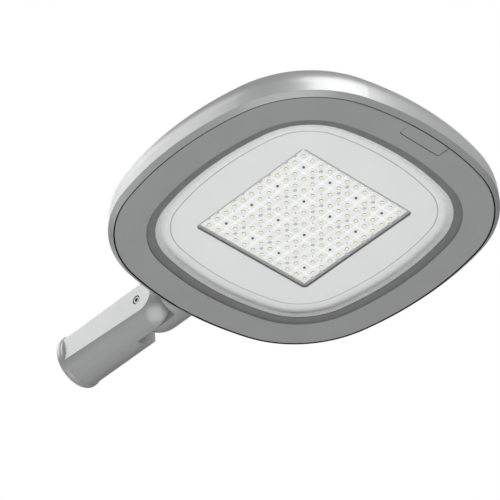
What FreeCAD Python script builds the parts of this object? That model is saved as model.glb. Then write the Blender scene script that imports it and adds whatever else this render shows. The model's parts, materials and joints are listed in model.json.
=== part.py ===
import FreeCAD, Part

import math
import os

import Sketcher
from FreeCAD import Placement, Rotation, Vector

# LED street light head with a tilting spigot, in millimetres.
#
# The frame is the spigot's: its origin is the middle of the spigot's open mouth, +X runs forward along
# the mast arm's axis to the lamp's front edge, and +Z is up. The lamp's flat face looks down, along -Z.
# Pieces of the head are drawn about the middle of the LED array, with heights measured up from the face.

# Every outline of the head is one family of rounded squares: four shallow side arcs and four tighter
# corner arcs about eight fixed centres, so that outlines of different half widths run parallel.
SIZES = [
    ("head_rear", 227.8, "spigot mouth to the head's rear edge"),
    ("axis_over_face", 45.7, "spigot axis above the lamp's face"),
    ("side_centre", 240.85, "side arc's centre, beyond the middle"),
    ("corner_centre", 76.9, "corner arc's centre, along X and along Y"),
    ("canopy_half", 259.7, "half width of the canopy"),
    ("canopy_height", 100.0, "top of the dome above the face"),
    ("canopy_wall", 3.5, "wall of the canopy casting"),
    ("dome_flat", 100.0, "half width of the dome's flat middle"),
    ("shoulder_radius", 50.0, "round between the side wall and the dome"),
    ("shoulder_height", 21.5, "where the side wall turns into that round"),
    ("lip_bevel", 6.9, "bevel round the canopy's lower edge"),
    ("lip_land", 0.4, "flat land between that bevel and the canopy's mouth"),
    ("rib_inset", 1.0, "sealing rib from the inner edge of the rim seal"),
    ("rib_wall", 3.5, "thickness of the sealing rib"),
    ("rib_drop", 8.6, "lower edge of the sealing rib above the face"),
    ("rim_gap", 2.2, "open gap between the door frame and the canopy's lip"),
    ("bezel_width", 45.2, "width of the door frame's plate"),
    ("bezel_plate", 2.8, "thickness of the door frame's plate"),
    ("bezel_edge", 6.0, "height of the door frame's outer edge"),
    ("bezel_edge_wall", 2.5, "thickness of the door frame's outer edge"),
    ("bezel_round", 0.8, "bevel on the door frame's lower edge"),
    ("glass_lap", 2.5, "lap of the glass over the door frame's opening"),
    ("glass_thickness", 4.0, "thickness of the glass"),
    ("gasket_reach", 12.8, "reach of the dark gasket ring inside that opening"),
    ("gasket_thickness", 1.5, "thickness of the gasket ring"),
    ("glass_play", 1.0, "play between the glass and the wall round it"),
    ("glass_wall", 2.5, "thickness of the wall round the glass"),
    ("glass_wall_top", 8.5, "top of the wall round the glass"),
    ("seal_play", 1.5, "from that wall to the rim seal"),
    ("seal_width", 5.0, "width of the rim seal"),
    ("seal_wall", 2.0, "thickness of the wall outside the rim seal"),
    ("seal_wall_top", 7.0, "top of the wall outside the rim seal"),
    ("fit_gap", 0.3, "clearance between pieces that close on each other"),
    ("cover_inset", 7.0, "light cover's edge inside the door frame's opening"),
    ("cover_face", 10.85, "light cover above the face"),
    ("cover_thickness", 1.5, "thickness of the light cover"),
    ("cover_margin", 26.0, "width of the light cover's domed margin"),
    ("cover_rise", 6.5, "rise of the light cover's domed edge"),
    ("groove_inset", 2.1, "groove inside that margin"),
    ("groove_width", 1.4, "width of that groove"),
    ("groove_depth", 0.7, "depth of that groove"),
    ("window_margin", 5.3, "from the LED array to the edge of the square window"),
    ("window_corner", 7.0, "corner radius of that window"),
    ("window_trim_wall", 1.5, "thickness of the window's dark trim"),
    ("led_pitch", 17.6, "pitch of the LEDs, both ways"),
    ("lens_gap", 0.6, "gap between neighbouring lens plates"),
    ("lens_face", 13.4, "top of the lens cells, above the face"),
    ("lens_cell", 15.2, "width of one lens cell"),
    ("lens_cell_height", 1.5, "height of one lens cell on its plate"),
    ("lens_plate", 1.3, "thickness of a lens plate under its cells"),
    ("lens_foot", 0.8, "height of the foot round a lens plate"),
    ("lens_dome", 7.2, "width of the lens on a cell"),
    ("lens_dome_height", 0.9, "height of the lens on a cell"),
    ("lens_screw", 3.0, "thread of a lens screw"),
    ("chip_size", 3.5, "width of an LED chip"),
    ("chip_height", 0.6, "height of an LED chip"),
    ("board_thickness", 1.6, "thickness of an LED board"),
    ("board_gap", 0.4, "gap between neighbouring LED boards"),
    ("sink_margin", 15.4, "from the LED array to the edge of the heat sink's plate"),
    ("sink_plate", 6.0, "thickness of the heat sink's plate"),
    ("fin_height", 40.0, "height of the heat sink's fins"),
    ("fin_thickness", 2.5, "thickness of a fin"),
    ("fin_pitch", 20.0, "pitch of the fins"),
    ("sink_boss_inset", 7.0, "heat sink boss from the plate's edges"),
    ("boss_diameter", 12.0, "diameter of the canopy's screw bosses"),
    ("boss_screw", 5.0, "thread of the screws in the bosses"),
    ("tray_play", 3.0, "from the heat sink's plate to the gear tray"),
    ("tray_depth", 74.0, "depth of the gear tray"),
    ("tray_half_width", 112.0, "half width of the gear tray"),
    ("tray_height", 24.0, "gear tray above the face"),
    ("tray_thickness", 1.5, "thickness of the gear tray"),
    ("tray_boss_inset", 9.0, "gear tray boss from the tray's edges"),
    ("driver_length", 150.0, "length of the LED driver"),
    ("driver_width", 54.0, "width of the LED driver"),
    ("driver_height", 34.0, "height of the LED driver"),
    ("driver_foot", 9.0, "length of the driver's mounting feet"),
    ("spigot_bore", 61.0, "bore for a mast arm of 60"),
    ("bore_depth", 100.0, "depth of that bore"),
    ("barrel_radius", 41.6, "radius of the spigot's barrel"),
    ("collar_radius", 43.2, "radius of the collar at the mouth"),
    ("collar_width", 9.0, "width of that collar"),
    ("flat_rear", 37.3, "flat sides from the middle, at the collar"),
    ("flat_front", 34.6, "flat sides from the middle, at the knuckle"),
    ("pivot_x", 170.0, "tilt pivot in front of the mouth"),
    ("lap_plane", -1.8, "plane where tongue and ear lap"),
    ("lap_gap", 0.4, "clearance between tongue and ear"),
    ("notch_wall", 135.5, "end of the spigot's notch for the ear"),
    ("ear_wall", 218.0, "end of the neck's notch for the tongue"),
    ("tongue_nose", 175.0, "centre of the tongue's rounded end"),
    ("ear_nose", 182.0, "centre of the ear's rounded end"),
    ("neck_end", 345.0, "front end of the neck, under the dome"),
    ("neck_wall", 18.0, "thickness of the neck's rear wall"),
    ("pivot_bolt", 8.0, "thread of the pivot screw"),
    ("pivot_head", 13.0, "head of the pivot screw"),
    ("pivot_recess", 14.6, "recess round that head"),
    ("pivot_clearance", 0.05, "radial running clearance of the pivot"),
    ("washer_diameter", 36.0, "toothed washer in the lap"),
    ("washer_seat", 1.5, "depth of that washer's seat in the ear"),
    ("cable_hole", 18.0, "cable way through the knuckle"),
    ("cable_y", 17.0, "cable way to the side of the axis"),
    ("cable_z", 18.0, "cable way above the axis"),
    ("gland_y", 14.0, "cable gland to the side of the axis"),
    ("gland_z", 14.0, "cable gland above the axis"),
    ("clamp_screw", 8.0, "thread of the screws that grip the mast arm"),
    ("hinge_offset", 0.5, "door hinge behind the door frame's rear edge, in the gap"),
    ("hinge_height", 1.6, "door hinge above the face"),
    ("hinge_knuckle", 7.6, "length of a hinge knuckle"),
    ("hinge_pitch", 8.0, "pitch of the hinge knuckles, canopy's and door's by turns"),
    ("hinge_eye", 1.3, "outer radius of a hinge knuckle"),
    ("hinge_pin", 1.5, "diameter of the hinge pin"),
    ("latch_depth", 22.7, "latch's inner edge from the door frame's outer edge"),
    ("latch_half_width", 39.3, "half width of the latch"),
    ("latch_gap", 0.8, "gap round the latch"),
    ("latch_corner", 4.5, "corner radius of the latch"),
    ("latch_thickness", 5.0, "thickness of the latch plate"),
    ("latch_pin", 2.5, "diameter of the latch pin"),
    ("latch_arm", 5.0, "thickness of the latch's hook"),
    ("latch_arm_half", 7.0, "half width of the latch's hook"),
    ("catch_crest", 18.0, "crest of the catch spring above the face"),
]


class Size:
    """A length together with the spreadsheet formula that gives it."""

    def __init__(self, value, formula):
        self.value = value
        self.formula = formula

    def __add__(self, other):
        other = as_size(other)
        return Size(self.value + other.value, f"({self.formula} + {other.formula})")

    def __sub__(self, other):
        other = as_size(other)
        return Size(self.value - other.value, f"({self.formula} - {other.formula})")

    def __mul__(self, other):
        other = as_size(other)
        return Size(self.value * other.value, f"({self.formula} * {other.formula})")

    def __truediv__(self, other):
        other = as_size(other)
        return Size(self.value / other.value, f"({self.formula} / {other.formula})")

    def __radd__(self, other):
        return as_size(other) + self

    def __rsub__(self, other):
        return as_size(other) - self

    def __rmul__(self, other):
        return as_size(other) * self

    def __neg__(self):
        return Size(-self.value, f"(0 - {self.formula})")

    def __float__(self):
        return float(self.value)


def as_size(number):
    """Turn a plain number into a Size; a Size stays as it is."""
    return number if isinstance(number, Size) else Size(float(number), repr(float(number)))


def root(size):
    """Square root of a Size."""
    return Size(math.sqrt(size.value), f"sqrt{size.formula}")


doc = FreeCAD.newDocument("led_street_light_head")
sheet = doc.addObject("Spreadsheet::Sheet", "dims")
for row, (alias, number, meaning) in enumerate(SIZES, start=1):
    sheet.set(f"A{row}", alias)
    sheet.set(f"B{row}", str(number))
    sheet.setAlias(f"B{row}", alias)
    sheet.set(f"C{row}", meaning)
doc.recompute()

SIZE = {alias: Size(float(sheet.get(alias)), f"dims.{alias}") for alias, number, meaning in SIZES}

# Heights above the face, and half widths of the nested outlines from the canopy's lip inwards.
GLASS_FLOOR = SIZE["bezel_plate"] + SIZE["gasket_thickness"]
GLASS_TOP = GLASS_FLOOR + SIZE["glass_thickness"]
LENS_FLOOR = SIZE["lens_face"] + SIZE["lens_cell_height"]
LENS_TOP = LENS_FLOOR + SIZE["lens_plate"]
BOARD_FLOOR = LENS_TOP + SIZE["lens_foot"]
SINK_FLOOR = BOARD_FLOOR + SIZE["board_thickness"]
SINK_TOP = SINK_FLOOR + SIZE["sink_plate"]
TRAY_TOP = SIZE["tray_height"] + SIZE["tray_thickness"]
LIP_HALF = SIZE["canopy_half"] - SIZE["lip_bevel"] - SIZE["lip_land"]
DOOR_HALF = LIP_HALF - SIZE["rim_gap"]
BEZEL_INNER = DOOR_HALF - SIZE["bezel_width"]
GLASS_HALF = BEZEL_INNER + SIZE["glass_lap"]
GLASS_WALL_INNER = GLASS_HALF + SIZE["glass_play"]
GASKET_INNER = BEZEL_INNER - SIZE["gasket_reach"]
SEAL_INNER = GLASS_WALL_INNER + SIZE["glass_wall"] + SIZE["seal_play"]
SEAL_OUTER = SEAL_INNER + SIZE["seal_width"]
RIB_INNER = SEAL_INNER + SIZE["rib_inset"]
COVER_HALF = BEZEL_INNER - SIZE["cover_inset"]
COVER_FLAT = COVER_HALF - SIZE["cover_margin"]
GROOVE_HALF = COVER_FLAT - SIZE["groove_inset"]
LATCH_INNER = DOOR_HALF - SIZE["latch_depth"]
HINGE_X = -(DOOR_HALF + SIZE["hinge_offset"])
HEAD_REACH = SIZE["head_rear"] + SIZE["canopy_half"]
LEDS_A_SIDE = 12
LEDS_A_PLATE = 3
PLATES_A_SIDE = LEDS_A_SIDE // LEDS_A_PLATE
ARRAY_HALF = SIZE["led_pitch"] * LEDS_A_SIDE / 2
WINDOW_HALF = ARRAY_HALF + SIZE["window_margin"]
SINK_HALF = ARRAY_HALF + SIZE["sink_margin"]
SINK_BOSS = SINK_HALF - SIZE["sink_boss_inset"]
TRAY_FRONT = -(SINK_HALF + SIZE["tray_play"])
TRAY_REAR = TRAY_FRONT - SIZE["tray_depth"]
HEAD = (HEAD_REACH, as_size(0), -SIZE["axis_over_face"])
SPIGOT = (as_size(0), as_size(0), as_size(0))

parts = {}


def place(feature, frame):
    """Place a body or solid at a frame, each coordinate bound to the sheet."""
    for axis, size in zip("xyz", frame):
        feature.setExpression(f"Placement.Base.{axis}", size.formula)
    feature.Placement = Placement(Vector(*[float(size) for size in frame]), Rotation())


def new_body(name, frame):
    body = doc.addObject("PartDesign::Body", name)
    place(body, frame)
    return body


def plane_of(body, role):
    return next(item for item in body.Origin.OriginFeatures if item.Role == role)


def new_sketch(body, name, role="XY_Plane", offset=0):
    """Sketch on one of the body's origin planes, moved along that plane's normal."""
    offset = as_size(offset)
    sketch = body.newObject("Sketcher::SketchObject", name)
    sketch.AttachmentSupport = [(plane_of(body, role), "")]
    sketch.MapMode = "FlatFace"
    sketch.AttachmentOffset = Placement(Vector(0, 0, float(offset)), Rotation())
    sketch.setExpression("AttachmentOffset.Base.z", offset.formula)
    return sketch


def bind(sketch, kind, place_of, size):
    """Add one dimension to a sketch and bind it to the sheet."""
    index = sketch.addConstraint(Sketcher.Constraint(kind, *place_of, float(size)))
    sketch.setExpression(f"Constraints[{index}]", size.formula)


def arc_between(start, end, radius, bulge):
    """Arc from start to end; bulge +1 keeps its centre on the left, -1 on the right."""
    chord = end - start
    reach = math.sqrt(max(radius ** 2 - (chord.Length / 2) ** 2, 0))
    left = Vector(-chord.y, chord.x, 0).normalize()
    centre = (start + end) * 0.5 + left * (reach * bulge)
    first, last = (start, end) if bulge > 0 else (end, start)
    angles = [math.atan2(point.y - centre.y, point.x - centre.x) for point in (first, last)]
    if angles[1] <= angles[0]:
        angles[1] += 2 * math.pi
    circle = Part.Circle(centre, Vector(0, 0, 1), radius)
    return Part.ArcOfCircle(circle, angles[0], angles[1])


def add_outline(sketch, nodes):
    """Closed outline through nodes (x, y) or (x, y, radius, bulge), the arc running to the next node."""
    nodes = [tuple(as_size(item) if place_in < 3 else item for place_in, item in enumerate(node))
             for node in nodes]
    points = [Vector(float(node[0]), float(node[1]), 0) for node in nodes]
    edges = []
    for index, node in enumerate(nodes):
        start, end = points[index], points[(index + 1) % len(points)]
        if len(node) > 2:
            edge = sketch.addGeometry(arc_between(start, end, float(node[2]), node[3]), False)
            edges.append((edge, 1, 2) if node[3] > 0 else (edge, 2, 1))
        else:
            edges.append((sketch.addGeometry(Part.LineSegment(start, end), False), 1, 2))
    for index, node in enumerate(nodes):
        edge, first, last = edges[index]
        before, before_first, before_last = edges[index - 1]
        sketch.addConstraint(Sketcher.Constraint("Coincident", before, before_last, edge, first))
        for kind, size in (("DistanceX", node[0]), ("DistanceY", node[1])):
            if float(size) == 0 and size.formula == "0.0":
                axis = -2 if kind == "DistanceX" else -1
                sketch.addConstraint(Sketcher.Constraint("PointOnObject", edge, first, axis))
            else:
                bind(sketch, kind, (-1, 1, edge, first), size)
        if len(node) > 2:
            bind(sketch, "Radius", (edge,), node[2])
    return sketch


def add_circle(sketch, x, y, radius):
    x, y, radius = as_size(x), as_size(y), as_size(radius)
    centre = Vector(float(x), float(y), 0)
    circle = sketch.addGeometry(Part.Circle(centre, Vector(0, 0, 1), float(radius)), False)
    for kind, size, axis in (("DistanceX", x, -2), ("DistanceY", y, -1)):
        if float(size) == 0 and size.formula == "0.0":
            sketch.addConstraint(Sketcher.Constraint("PointOnObject", circle, 3, axis))
        else:
            bind(sketch, kind, (-1, 1, circle, 3), size)
    bind(sketch, "Radius", (circle,), radius)
    return sketch


def add_box_outline(sketch, x_low, x_high, y_low, y_high):
    return add_outline(sketch, [(x_low, y_low), (x_high, y_low), (x_high, y_high), (x_low, y_high)])


def rounded_square_nodes(half, start_on_axis=False):
    """Tangent points and radii of the head's outline at one half width, anticlockwise from +X."""
    half = as_size(half)
    side, corner = SIZE["side_centre"], SIZE["corner_centre"]
    run = side + corner
    reach = root(run * run + corner * corner)
    side_radius = half + side
    corner_radius = side_radius - reach
    near = side_radius * run / reach - side
    far = side_radius * corner / reach
    nodes = [
        (near, far, corner_radius, 1), (far, near, side_radius, 1),
        (-far, near, corner_radius, 1), (-near, far, side_radius, 1),
        (-near, -far, corner_radius, 1), (-far, -near, side_radius, 1),
        (far, -near, corner_radius, 1), (near, -far, side_radius, 1),
    ]
    if start_on_axis:
        nodes.insert(0, (half, as_size(0), side_radius, 1))
    return nodes


def rounded_rectangle_nodes(x_half, y_half, radius):
    x_half, y_half, radius = as_size(x_half), as_size(y_half), as_size(radius)
    x_flat, y_flat = x_half - radius, y_half - radius
    return [
        (x_half, -y_flat), (x_half, y_flat, radius, 1), (x_flat, y_half), (-x_flat, y_half, radius, 1),
        (-x_half, y_flat), (-x_half, -y_flat, radius, 1), (-x_flat, -y_half), (x_flat, -y_half, radius, 1),
    ]


def pad(body, sketch, length, name, taper=0):
    feature = body.newObject("PartDesign::Pad", name)
    feature.Profile = sketch
    feature.Length = float(length)
    feature.setExpression("Length", as_size(length).formula)
    feature.TaperAngle = taper
    return feature


def pocket_through(body, sketch, name):
    """Cut a sketch right through, both ways."""
    feature = body.newObject("PartDesign::Pocket", name)
    feature.Profile = sketch
    feature.Type = "ThroughAll"
    feature.Midplane = True
    return feature


def pocket_to(body, sketch, length, name, along_normal):
    """Cut a sketch to a depth, along its plane's normal or against it."""
    feature = body.newObject("PartDesign::Pocket", name)
    feature.Profile = sketch
    feature.Length = float(length)
    feature.setExpression("Length", as_size(length).formula)
    feature.Reversed = along_normal
    return feature


def revolve(body, sketch, axis, name):
    feature = body.newObject("PartDesign::Revolution", name)
    feature.Profile = sketch
    feature.ReferenceAxis = (sketch, [axis])
    feature.Angle = 360
    return feature


def keep(feature, label):
    """Register a finished sub-part under the name of its file."""
    feature.Label = label
    parts[label] = feature
    return feature


def cut(name, base, tool):
    feature = doc.addObject("Part::Cut", name)
    feature.Base = base
    feature.Tool = tool
    return feature


def fuse(name, shapes):
    feature = doc.addObject("Part::MultiFuse", name)
    feature.Shapes = shapes
    feature.Refine = True
    return feature


def common(name, base, tool):
    feature = doc.addObject("Part::Common", name)
    feature.Base = base
    feature.Tool = tool
    return feature


def slab(name, frame, outline, low, high):
    """Body of one outline between two heights."""
    low, high = as_size(low), as_size(high)
    body = new_body(name, frame)
    sketch = new_sketch(body, name + "_sketch", "XY_Plane", low)
    add_outline(sketch, outline)
    pad(body, sketch, high - low, name + "_pad")
    return body


def ring(name, outer, inner, low, high):
    """Ring of the head's outline between two half widths and two heights."""
    low, high = as_size(low), as_size(high)
    body = new_body(name, HEAD)
    sketch = new_sketch(body, name + "_sketch", "XY_Plane", low)
    add_outline(sketch, rounded_square_nodes(outer))
    add_outline(sketch, rounded_square_nodes(inner))
    pad(body, sketch, high - low, name + "_pad")
    return body


def box_nodes(x_low, x_high, y_low, y_high):
    return [(x_low, y_low), (x_high, y_low), (x_high, y_high), (x_low, y_high)]


def cylinder(name, frame, radius, height, at, direction=Vector(0, 0, 1)):
    """Part cylinder from a point in a frame, bound to the sheet."""
    feature = doc.addObject("Part::Cylinder", name)
    feature.setExpression("Radius", as_size(radius).formula)
    feature.setExpression("Height", as_size(height).formula)
    sizes = [as_size(offset) + start for offset, start in zip(at, frame)]
    turn = Rotation(Vector(0, 0, 1), direction)
    feature.Placement = Placement(Vector(*[float(size) for size in sizes]), turn)
    for axis, size in zip("xyz", sizes):
        feature.setExpression(f"Placement.Base.{axis}", size.formula)
    return feature


def sweep(body, name, kind, path_half, section):
    """Add or cut a section (half width, height) swept round the head's outline."""
    path = new_sketch(body, name + "_path")
    add_outline(path, rounded_square_nodes(path_half, start_on_axis=True))
    profile = new_sketch(body, name + "_section", "XZ_Plane")
    add_outline(profile, section)
    pipe = body.newObject("PartDesign::" + kind, name + "_sweep")
    pipe.Profile = profile
    pipe.Spine = path
    pipe.Mode = "Frenet"
    return pipe


def swept_ring(name, path_half, section):
    """Body made of one swept section."""
    body = new_body(name, HEAD)
    sweep(body, name, "AdditivePipe", path_half, section)
    return body


def edges_where(shape, test):
    return [f"Edge{index}" for index, edge in enumerate(shape.Edges, start=1) if test(edge)]


def domed_form(name):
    """Prism of the canopy's outline, its top edge swept to a round shoulder and a shallow dome."""
    half, height, flat = SIZE["canopy_half"], SIZE["canopy_height"], SIZE["dome_flat"]
    shoulder, spring = SIZE["shoulder_radius"], SIZE["shoulder_height"]
    radius, meet = dome_curve()
    body = slab(name, HEAD, rounded_square_nodes(half), 0, height)
    sweep(body, name + "_dome", "SubtractivePipe", half, [
        (half, spring, shoulder, 1), meet + (radius, 1), (flat, height), (flat, height + 5),
        (half + 8, height + 5), (half + 8, spring)])
    return body


def dome_curve():
    """Radius of the dome's section, and where it meets the shoulder's."""
    shoulder, spring, flat = SIZE["shoulder_radius"], SIZE["shoulder_height"], SIZE["dome_flat"]
    middle, height = SIZE["canopy_half"] - shoulder, SIZE["canopy_height"]
    reach, rise = middle - flat, height - spring
    radius = (reach * reach + rise * rise - shoulder * shoulder) / ((rise - shoulder) * 2)
    share = shoulder / (radius - shoulder)
    return radius, (middle + reach * share, spring + (spring - height + radius) * share)


def hollow_form(name, wall, low):
    """Space under the dome at one wall thickness, with plain cones in place of the rounds."""
    half, shoulder = SIZE["canopy_half"] - wall, SIZE["shoulder_radius"] - wall
    middle, spring = SIZE["canopy_half"] - SIZE["shoulder_radius"], SIZE["shoulder_height"]
    radius, meet = dome_curve()
    share = wall / SIZE["shoulder_radius"]
    meet = (meet[0] - (meet[0] - middle) * share, meet[1] - (meet[1] - spring) * share)
    height, flat = SIZE["canopy_height"] - wall, SIZE["dome_flat"]
    body = slab(name, HEAD, rounded_square_nodes(half), low, height)
    sweep(body, name + "_cones", "SubtractivePipe", half, [
        (half, spring), (middle + shoulder * 0.8, spring + shoulder * 0.6), meet, (flat, height),
        (flat, height + 5), (half + 8, height + 5), (half + 8, spring)])
    return body


def bevel_low_edge(body, name, size):
    """Bevel the edges of a body's lowest face."""
    doc.recompute()
    shape = body.Tip.Shape
    lowest = shape.BoundBox.ZMin
    low_edges = edges_where(shape, lambda edge: all(abs(v.Z - lowest) < 1e-6 for v in edge.Vertexes))
    chamfer = body.newObject("PartDesign::Chamfer", name)
    chamfer.Base = (body.Group[-2], low_edges)
    chamfer.Size = float(size)
    chamfer.setExpression("Size", size.formula)


def neck_and_ear():
    """Neck at the canopy's rear with the rounded ear of the knuckle, round about the mast arm's axis."""
    radius, tip = SIZE["barrel_radius"], SIZE["ear_nose"] - SIZE["barrel_radius"]
    end, beyond = SIZE["neck_end"], SIZE["barrel_radius"] + 5
    body = new_body("neck", SPIGOT)
    profile = new_sketch(body, "neck_profile")
    add_outline(profile, [(tip, 0, radius, -1), (SIZE["ear_nose"], radius), (end, radius), (end, 0)])
    revolve(body, profile, "H_Axis", "neck_round")
    flats = new_sketch(body, "neck_flats_sketch")
    add_box_outline(flats, tip - 5, end + 5, SIZE["flat_front"], beyond)
    add_box_outline(flats, tip - 5, end + 5, -beyond, -SIZE["flat_front"])
    pocket_through(body, flats, "neck_flats")
    lap = new_sketch(body, "ear_lap_sketch")
    add_box_outline(lap, tip - 5, SIZE["ear_wall"], -beyond, EAR_FACE)
    pocket_through(body, lap, "ear_lap")
    pivot = new_sketch(body, "ear_pivot_sketch", "XZ_Plane")
    add_circle(pivot, SIZE["pivot_x"], 0, SIZE["pivot_bolt"] / 2 + SIZE["pivot_clearance"])
    pocket_through(body, pivot, "ear_pivot")
    seat = new_sketch(body, "washer_seat_sketch", "XZ_Plane", -EAR_FACE)
    add_circle(seat, SIZE["pivot_x"], 0, SIZE["washer_diameter"] / 2 + FIT)
    pocket_to(body, seat, SIZE["washer_seat"], "washer_seat", along_normal=False)
    nut_seat = new_sketch(body, "nut_seat_sketch", "XZ_Plane", -beyond)
    add_outline(nut_seat, hexagon_nodes(SIZE["pivot_x"], 0, NUT_FLATS / 2 + FIT))
    pocket_to(body, nut_seat, beyond - SIZE["flat_front"] + NUT_DEPTH, "nut_seat", along_normal=True)
    return body


def hexagon_nodes(x, y, half_flats):
    """Hexagon about a centre, by half its width across flats."""
    x, y, half_flats = as_size(x), as_size(y), as_size(half_flats)
    corner = half_flats * 2 / root(as_size(3) * 1)
    return [(x + corner, y), (x + corner / 2, y + half_flats), (x - corner / 2, y + half_flats),
            (x - corner, y), (x - corner / 2, y - half_flats), (x + corner / 2, y - half_flats)]


def neck_hollow(name, wall):
    """Space inside the neck at one wall thickness, open into the space under the dome."""
    start, radius = SIZE["ear_wall"] + SIZE["neck_wall"], SIZE["barrel_radius"] - wall
    body = new_body(name, SPIGOT)
    profile = new_sketch(body, name + "_profile")
    end = SIZE["neck_end"]
    add_outline(profile, [(start, 0), (start, radius), (end, radius), (end, 0)])
    revolve(body, profile, "H_Axis", name + "_round")
    flats = new_sketch(body, name + "_flats_sketch")
    side, beyond = SIZE["flat_front"] - wall, SIZE["barrel_radius"] + 5
    add_box_outline(flats, start - 5, end + 5, side, beyond)
    add_box_outline(flats, start - 5, end + 5, -beyond, -side)
    pocket_through(body, flats, name + "_flats")
    return body


def screw_bosses():
    """Bosses under the dome for the heat sink and the gear tray, with the holes drilled in them."""
    bosses, drills = [], []
    radius, hole = SIZE["boss_diameter"] / 2, SIZE["boss_screw"] / 2 + SIZE["pivot_clearance"]
    for index, (x, y) in enumerate(SINK_BOSSES + TRAY_BOSSES):
        low = SINK_TOP if index < len(SINK_BOSSES) else TRAY_TOP
        bosses.append(cylinder(f"boss_{index}", HEAD, radius, SIZE["canopy_height"] - low, (x, y, low)))
        drills.append(cylinder(f"boss_drill_{index}", HEAD, hole, BOSS_DRILL, (x, y, low)))
    return bosses, drills


def knuckle_outline(reach):
    """Hinge knuckle about the door's hinge axis, with a web that reaches to one side."""
    x, z, eye = HINGE_X, SIZE["hinge_height"], SIZE["hinge_eye"]
    if float(reach) < 0:
        return [(x, z + eye, eye, -1), (x + eye, z, eye, -1), (x, z - eye),
                (x + reach, z - eye), (x + reach, z + eye)]
    return [(x, z - eye, eye, -1), (x - eye, z, eye, -1), (x, z + eye),
            (x + reach, z + eye), (x + reach, z - eye)]


def hinge_lugs():
    """Hinge knuckles that stand in from the canopy's lip, either side of and between the door's."""
    reach = SIZE["hinge_offset"] - SIZE["rim_gap"] - HINGE_BITE
    lugs = []
    for step in (-2, 0, 2):
        body = new_body(f"hinge_lug_{step + 2}", HEAD)
        sketch = new_sketch(body, f"hinge_lug_sketch_{step + 2}", "XZ_Plane", -SIZE["hinge_pitch"] * step)
        add_outline(sketch, knuckle_outline(reach))
        feature = pad(body, sketch, SIZE["hinge_knuckle"], f"hinge_lug_pad_{step + 2}")
        feature.Midplane = True
        lugs.append(body)
    return lugs


def lip_outside():
    """Block outside the lip's bevel at the hinge, which trims the ends of the hinge's webs."""
    body = new_body("lip_outside", HEAD)
    sketch = new_sketch(body, "lip_outside_sketch", "XZ_Plane")
    start, beyond = LIP_HALF - SIZE["lip_land"] / 2, SIZE["lip_bevel"]
    add_outline(sketch, [(-start, 0), (-start - beyond, beyond), (-start - beyond * 2, beyond),
                         (-start - beyond * 2, -beyond), (-start, -beyond)])
    feature = pad(body, sketch, SIZE["hinge_pitch"] * 8, "lip_outside_pad")
    feature.Midplane = True
    return body


def build_canopy():
    """Die-cast canopy: domed shell with a bevelled lip, sealing rib, bosses, hinge lugs, neck and ear."""
    wall = SIZE["canopy_wall"]
    outside = domed_form("canopy_outside")
    bevel_low_edge(outside, "canopy_lip", SIZE["lip_bevel"])
    ledge = SIZE["lip_bevel"] - wall + wall * root(as_size(2) * 1)
    inside = hollow_form("canopy_inside", wall, ledge)
    mouth = slab("canopy_mouth", HEAD, rounded_square_nodes(LIP_HALF), -1, ledge)
    rib_outer = RIB_INNER + SIZE["rib_wall"]
    rib = ring("canopy_rib", rib_outer, RIB_INNER, SIZE["rib_drop"], SIZE["canopy_height"])
    bosses, drills = screw_bosses()
    form = fuse("canopy_form", [outside, neck_and_ear()])
    space = fuse("canopy_space", [inside, mouth, neck_hollow("neck_hollow", wall + 0.5)])
    shell = cut("canopy_shell", form, space)
    fittings = fuse("canopy_fittings", [rib] + bosses)
    limit = fuse("canopy_limit", [hollow_form("canopy_inside_limit", wall / 2, ledge - wall / 2),
                                  neck_hollow("neck_limit", wall / 2)])
    trimmed = common("canopy_fittings_trimmed", fittings, limit)
    lugs = cut("canopy_lugs", fuse("canopy_lugs_whole", hinge_lugs()), lip_outside())
    cast = fuse("canopy_cast", [shell, trimmed, lugs])
    pin_hole = SIZE["hinge_pin"] / 2 + SIZE["pivot_clearance"]
    lug_reach = SIZE["hinge_pitch"] * 3
    drills.append(cylinder("hinge_drill", HEAD, pin_hole, lug_reach * 2,
                           (HINGE_X, -lug_reach, SIZE["hinge_height"]), Vector(0, 1, 0)))
    drills.append(cylinder("gland_drill", (HEAD_REACH, as_size(0), as_size(0)),
                           GLAND_THREAD / 2 + SIZE["pivot_clearance"], SIZE["rib_wall"] + 4,
                           (-rib_outer - 2, SIZE["gland_y"], SIZE["gland_z"]), Vector(1, 0, 0)))
    drills.append(cylinder("cable_drill", SPIGOT, SIZE["cable_hole"] / 2,
                           SIZE["ear_wall"] + SIZE["neck_wall"] + 2 - SIZE["notch_wall"],
                           (SIZE["notch_wall"], SIZE["cable_y"], SIZE["cable_z"]), Vector(1, 0, 0)))
    keep(cut("canopy_part", cast, fuse("canopy_drills", drills)), "canopy")


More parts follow.
